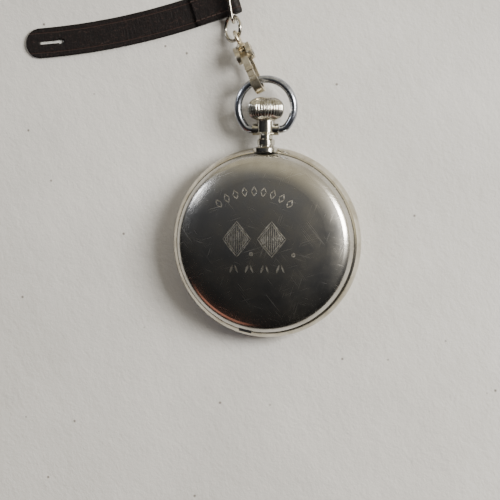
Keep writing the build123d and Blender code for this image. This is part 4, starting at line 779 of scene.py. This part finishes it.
@dataclass
class Strap:
    """Leather strap: folded over the bail, stitched, and run out to a slit tip.

    Attributes:
        wardrobe: Where the finishes are kept.
        half: Half the strap's width, in millimetres.
        thick: Leather thickness.
        flap: Length of the folded flap.
        length: Length laid flat, fold to tip centre.
        turn_r: Radius of the strap's slow curve in plan.
        heading: Heading of the folded part, in degrees.
        lift: Clearance above the table.
        fold_at: Outer end of the fold, in the shared frame.
    """

    wardrobe: Wardrobe
    half: float = 4.05
    thick: float = 1.0
    flap: float = 12.6
    length: float = 58.0
    turn_r: float = 190.0
    heading: float = 197.5
    lift: float = 0.02
    fold_at: tuple[float, float] = (-8.35, 64.6)

    def to_frame(self, u: float, v: float, z: float) -> Vector:
        """Place a point of the strap, given along, across and up, in the shared frame."""
        turn = math.radians(self.heading)
        x = self.fold_at[0] + u * math.cos(turn) - v * math.sin(turn)
        y = self.fold_at[1] + u * math.sin(turn) + v * math.cos(turn)
        return Vector((x, y, z)) * MM

    def outer_line(self) -> list[tuple[float, float]]:
        """Upper and outer face of the flap, from its end over the fold to the lower layer."""
        top, outer, foot = self.lift + 2 * self.thick, FOLD_OUTER, self.lift
        line = [(self.flap - 0.12, top - 0.35), (self.flap, top - 0.15), (self.flap - 0.18, top + 0.02)]
        line += [(self.flap - 1.4, top + 0.04), (self.flap - 3.2, top + 0.07), (8.0, top + 0.09)]
        line += [(6.2, top + 0.13), (5.2, foot + 2.38), (4.4, foot + 2.72), (3.4, foot + 2.97)]
        for a in range(80, 271, 12):
            angle = math.radians(a)
            line.append((outer + outer * math.cos(angle), foot + outer + outer * math.sin(angle)))
        return line + [(3.0, foot), (self.flap - FLAP_LAP, foot)]

    def inner_line(self) -> list[tuple[float, float]]:
        """Inner face from the lower layer back through the eye to the flap's end."""
        low, eye, radius = self.lift + self.thick, FOLD_OUTER, FOLD_INNER
        line = [(self.flap - FLAP_LAP, low), (3.5, low)]
        for a in range(270, 89, -20):
            angle = math.radians(a)
            line.append((eye + radius * math.cos(angle), self.lift + eye + radius * math.sin(angle)))
        line += [(3.5, self.lift + 2.0), (5.9, low + 0.03), (9.0, low + 0.02)]
        return line + [(self.flap - 0.12, low + 0.02)]

    def folded(self, bm: bmesh.types.BMesh, uv: bmesh.types.BMLayerItem) -> None:
        """Sweep the folded side outline across the strap, with rounded, slightly sunk edges.

        Args:
            bm: The strap's mesh.
            uv: The map that gets millimetres along and across.
        """
        outline = self.outer_line() + self.inner_line()
        middle = len(self.outer_line())
        run = [0.0]
        for a, b in zip(outline, outline[1:]):
            run.append(run[-1] + math.dist(a, b))
        steps = [-1, -0.985, -0.94, -0.86, -0.72, -GUIDE_LINE, -0.58, -0.4, -0.2, 0]
        steps = steps + [-s for s in steps[-2::-1]]
        rings = []
        for s in steps:
            shrink = 0.22 * max(0.0, abs(s) - 0.86) / 0.14
            ring = []
            for i, (u, z) in enumerate(outline):
                before, after = outline[i - 1], outline[(i + 1) % len(outline)]
                run_way = Vector((after[0] - before[0], after[1] - before[1])).normalized()
                inward = Vector((-run_way.y, run_way.x))
                groove = 0.05 if abs(abs(s) - GUIDE_LINE) < 0.03 and i < middle else 0.0
                shift = inward * (shrink + groove) * (1 if i < middle else 0.6)
                level = max(z + shift.y, self.lift)
                ring.append(bm.verts.new(self.to_frame(u + shift.x, s * self.half, level)))
            rings.append(ring)
        count = len(outline)
        for near, far, s0, s1 in zip(rings, rings[1:], steps, steps[1:]):
            for i in range(count):
                j = (i + 1) % count
                face = bm.faces.new((near[i], near[j], far[j], far[i]))
                ahead = run[j] if j else run[-1] + 1
                marks = ((run[i], s0), (ahead, s0), (ahead, s1), (run[i], s1))
                for loop, (along, across) in zip(face.loops, marks):
                    loop[uv].uv = (along, across * self.half)
        for ring in (rings[0], rings[-1]):
            edges = [bm.edges.get((a, b)) for a, b in zip(ring, ring[1:] + ring[:1])]
            made = bmesh.ops.triangle_fill(bm, use_beauty=True, edges=edges)
            for item in made["geom"]:
                if isinstance(item, bmesh.types.BMFace):
                    for loop in item.loops:
                        loop[uv].uv = (loop.vert.co.x / MM, self.half)

    def in_slit(self, s: float, v: float) -> bool:
        """Whether a place lies in the button slit or its round end."""
        tip = self.length - FLAP_LAP
        in_bar = abs(s - (tip - 2.5)) < 3.0 and abs(v) < 0.25
        return in_bar or math.hypot(s - (tip - 5.5), v) < 0.9

    def tail_place(self, s: float, v: float, z: float) -> Vector:
        """Place a point of the plain part, given by distance along, across and up."""
        start = self.flap - FLAP_LAP
        span = self.length - self.flap
        if s > start + span:
            angle = span / self.turn_r
            over = s - start - span
        else:
            angle, over = (s - start) / self.turn_r, 0.0
        swing = self.turn_r - v
        u = start + swing * math.sin(angle) + over * math.cos(angle)
        w = swing * math.cos(angle) - self.turn_r - over * math.sin(angle)
        return self.to_frame(u, w, z)

    def tail(self, bm: bmesh.types.BMesh, uv: bmesh.types.BMLayerItem) -> None:
        """Build the plain part as a fine sheet, cut the slit, then thicken and round it.

        Args:
            bm: The strap's mesh.
            uv: The map that gets millimetres along and across.
        """
        start = self.flap - FLAP_LAP
        end = self.length - self.flap + start
        rows, across = 128, 22
        made = bmesh.ops.create_grid(bm, x_segments=rows, y_segments=across, size=1.0)
        flat = {}
        for vert in made["verts"]:
            v = vert.co.y * (self.half - 0.02)
            reach = end + math.sqrt(max(self.half ** 2 - v * v, 0.0))
            s = start + (vert.co.x + 1) / 2 * (end - 8.0 - start) if vert.co.x < 0.6 else None
            if s is None:
                base = start + 0.8 * (end - 8.0 - start)
                s = base + (vert.co.x - 0.6) / 0.4 * (reach - base)
            flat[vert] = (s, v)
        gone = [f for f in {f for vert in flat for f in vert.link_faces}
                if self.in_slit(sum(flat[q][0] for q in f.verts) / 4,
                                sum(flat[q][1] for q in f.verts) / 4)]
        bmesh.ops.delete(bm, geom=gone, context="FACES")
        kept = {vert: place_at for vert, place_at in flat.items() if vert.is_valid}
        faces = list({f for vert in kept for f in vert.link_faces})
        for face in faces:
            for loop in face.loops:
                loop[uv].uv = flat[loop.vert]
        for vert, (s, v) in kept.items():
            vert.co = self.tail_place(s, v, self.lift + self.thick)
        shell = bmesh.ops.extrude_face_region(bm, geom=faces)
        lowered = [g for g in shell["geom"] if isinstance(g, bmesh.types.BMVert)]
        bmesh.ops.translate(bm, verts=lowered, vec=(0, 0, -self.thick * MM))
        rim = [e for e in {e for vert in kept if vert.is_valid for e in vert.link_edges}
               if len(e.link_faces) == 2 and e.calc_face_angle(0) > 0.9]
        bmesh.ops.bevel(bm, geom=rim, offset=0.24 * MM, segments=3, profile=0.5, affect="EDGES",
                        material=-1)

    def wear(self, bm: bmesh.types.BMesh) -> None:
        """Push the faces in a little at random, as soft leather lies."""
        for vert in bm.verts:
            spot = vert.co / MM
            slow = noise.noise(Vector((spot.x * 0.45, spot.y * 0.45, 0)))
            dent = slow + 0.6 * noise.noise(spot * 1.3)
            if vert.co.z > (self.lift + 0.5) * MM:
                vert.co.z -= (0.035 + 0.035 * dent) * MM

    def build(self) -> None:
        """Build the strap and dress its stitches."""
        bm = bmesh.new()
        uv = bm.loops.layers.uv.new("strap_mm")
        self.folded(bm, uv)
        self.tail(bm, uv)
        self.wear(bm)
        leather = self.wardrobe.get(StrapLeather())
        obj = piece("leather_strap", bm, leather, "strap", ("strap",))
        smooth_by_angle(obj, 40)
        self.wardrobe.dress(["strap_stitches"], THREAD)


@dataclass
class Works:
    """Dial side and movement, all carried over from the solid model."""

    wardrobe: Wardrobe

    def build(self) -> None:
        """Dress every inner node by the record's material slot."""
        finishes = {"nickel": CASE_BAND, "steel": STEEL, "blued_steel": BLUED, "gilt_brass": GILT,
                    "brass": BRASS, "crystal_glass": CRYSTAL, "enamel": ENAMEL, "black_enamel": PRINT,
                    "ruby": RUBY, "rubber": RUBBER, "thread": THREAD, "leather": RUBBER}
        for name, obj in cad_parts.items():
            for index, old in enumerate(obj.data.materials):
                base = old.name.split(".")[0] if old else ""
                if base in finishes:
                    obj.data.materials[index] = self.wardrobe.get(finishes[base])
        log.info("works dressed, %d nodes", len(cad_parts))


# ---------------------------------------------------------------- studio
@dataclass(frozen=True)
class Lamp:
    """Soft rectangular light.

    Attributes:
        name: Its name.
        at: Where it hangs, in metres.
        size: Its sides, in metres.
        power: Watts.
        colour: Hex colour of the light.
    """

    name: str
    at: tuple[float, float, float]
    size: tuple[float, float]
    power: float
    colour: str

    def build(self, aim: Vector) -> None:
        """Hang the light, pointed at the object.

        Args:
            aim: What it points at.
        """
        data = bpy.data.lights.new(self.name, "AREA")
        data.shape = "RECTANGLE"
        data.size, data.size_y = self.size
        data.energy = self.power
        data.color = linear(self.colour)[:3]
        obj = bpy.data.objects.new(self.name, data)
        obj.location = self.at
        obj.rotation_euler = (aim - Vector(self.at)).to_track_quat("-Z", "Y").to_euler()
        bpy.context.scene.collection.objects.link(obj)


@dataclass
class Studio:
    """Table top, soft light and the near-overhead camera.

    Attributes:
        aim: Point that the camera looks at, in millimetres.
        lean: Lean of the view toward +X and +Y, in degrees.
        reach: Distance from the camera to the aim, in metres.
        width: Width of the view at the aim, in metres.
        bright_side: Direction of the bright wall.
        lamps: The soft lights.
    """

    aim: tuple[float, float, float] = (-4.37, -2.05, 6.0)
    lean: tuple[float, float] = (10.5, 3.5)
    reach: float = 0.45
    width: float = 0.1316
    bright_side: tuple[float, float, float] = (0.35, 0.94, 0.0)
    lamps: tuple[Lamp, ...] = (
        Lamp("window", (0.54, 0.16, 0.48), (0.26, 0.30), 10.0, "fffcf7"),
        Lamp("left_fill", (-0.52, 0.27, 0.36), (0.08, 0.26), 0.8, "f4f7ff"),
        Lamp("warm_near", (-0.30, -0.36, 0.24), (0.30, 0.16), 0.14, "d08a74"),
    )

    def camera(self) -> None:
        """Make the camera and point it."""
        aim = Vector(self.aim) * MM
        slopes = [math.tan(math.radians(a)) for a in self.lean]
        way = Vector((slopes[0], slopes[1], 1)).normalized()
        data = bpy.data.cameras.new("camera")
        data.sensor_width = 36.0
        data.lens = 36.0 * self.reach / self.width
        data.clip_start, data.clip_end = 0.01, 20.0
        obj = bpy.data.objects.new("camera", data)
        right = Vector((0, 1, 0)).cross(way).normalized()
        up = way.cross(right).normalized()
        turn = Matrix((right, up, way)).transposed().to_4x4()
        obj.matrix_world = Matrix.Translation(aim + way * self.reach) @ turn
        bpy.context.scene.collection.objects.link(obj)
        bpy.context.scene.camera = obj

    def floor(self, wardrobe: Wardrobe) -> None:
        """Lay the table top just under the watch."""
        bm = bmesh.new()
        bmesh.ops.create_grid(bm, x_segments=40, y_segments=40, size=TABLE_HALF)
        mesh = bpy.data.meshes.new("table_top")
        bm.to_mesh(mesh)
        bm.free()
        mesh.materials.append(wardrobe.get(PaintedBoard()))
        obj = bpy.data.objects.new("table_top", mesh)
        bpy.context.scene.collection.objects.link(obj)
        obj.location.z = -TABLE_GAP

    def sky(self) -> None:
        """Room light: bright wall behind the crown, dim overhead, dark on the near side."""
        world = bpy.data.worlds.new("room")
        bpy.context.scene.world = world
        world.use_nodes = True
        tree = world.node_tree
        back = tree.nodes["Background"]
        look = add_node(tree, "TexCoord").outputs["Generated"]
        slant = add_node(tree, "VectorMath", {"operation": "DOT_PRODUCT"}, {
            0: look, 1: Vector(self.bright_side).normalized()}).outputs["Value"]
        share = add_node(tree, "MapRange", None, {
            "Value": slant, "From Min": -1.0, "From Max": 1.0}).outputs[0]
        colour = ramp(tree, share, (
            (0.0, "1b1917"), (0.34, "262626"), (0.50, "4b4c4f"),
            (0.63, "7f7e7c"), (0.74, "ddd3b6"), (1.0, "ebe4d2")))
        tree.links.new(colour, back.inputs["Color"])
        back.inputs["Strength"].default_value = 1.0

    def build(self, wardrobe: Wardrobe) -> None:
        """Set up the floor, the lights and the camera.

        Args:
            wardrobe: Where the table top's finish is kept.
        """
        self.floor(wardrobe)
        self.sky()
        for lamp in self.lamps:
            lamp.build(Vector(self.aim) * MM)
        self.camera()
        log.info("studio ready")


def main() -> None:
    """Build every sub-assembly in order."""
    logging.basicConfig(level=logging.INFO, format="%(asctime)s %(name)s: %(message)s")
    wardrobe = Wardrobe()
    Works(wardrobe).build()
    WatchCase(wardrobe).build()
    Chain(wardrobe).build()
    Strap(wardrobe).build()
    Studio().build(wardrobe)


if __name__ == "__main__":
    main()
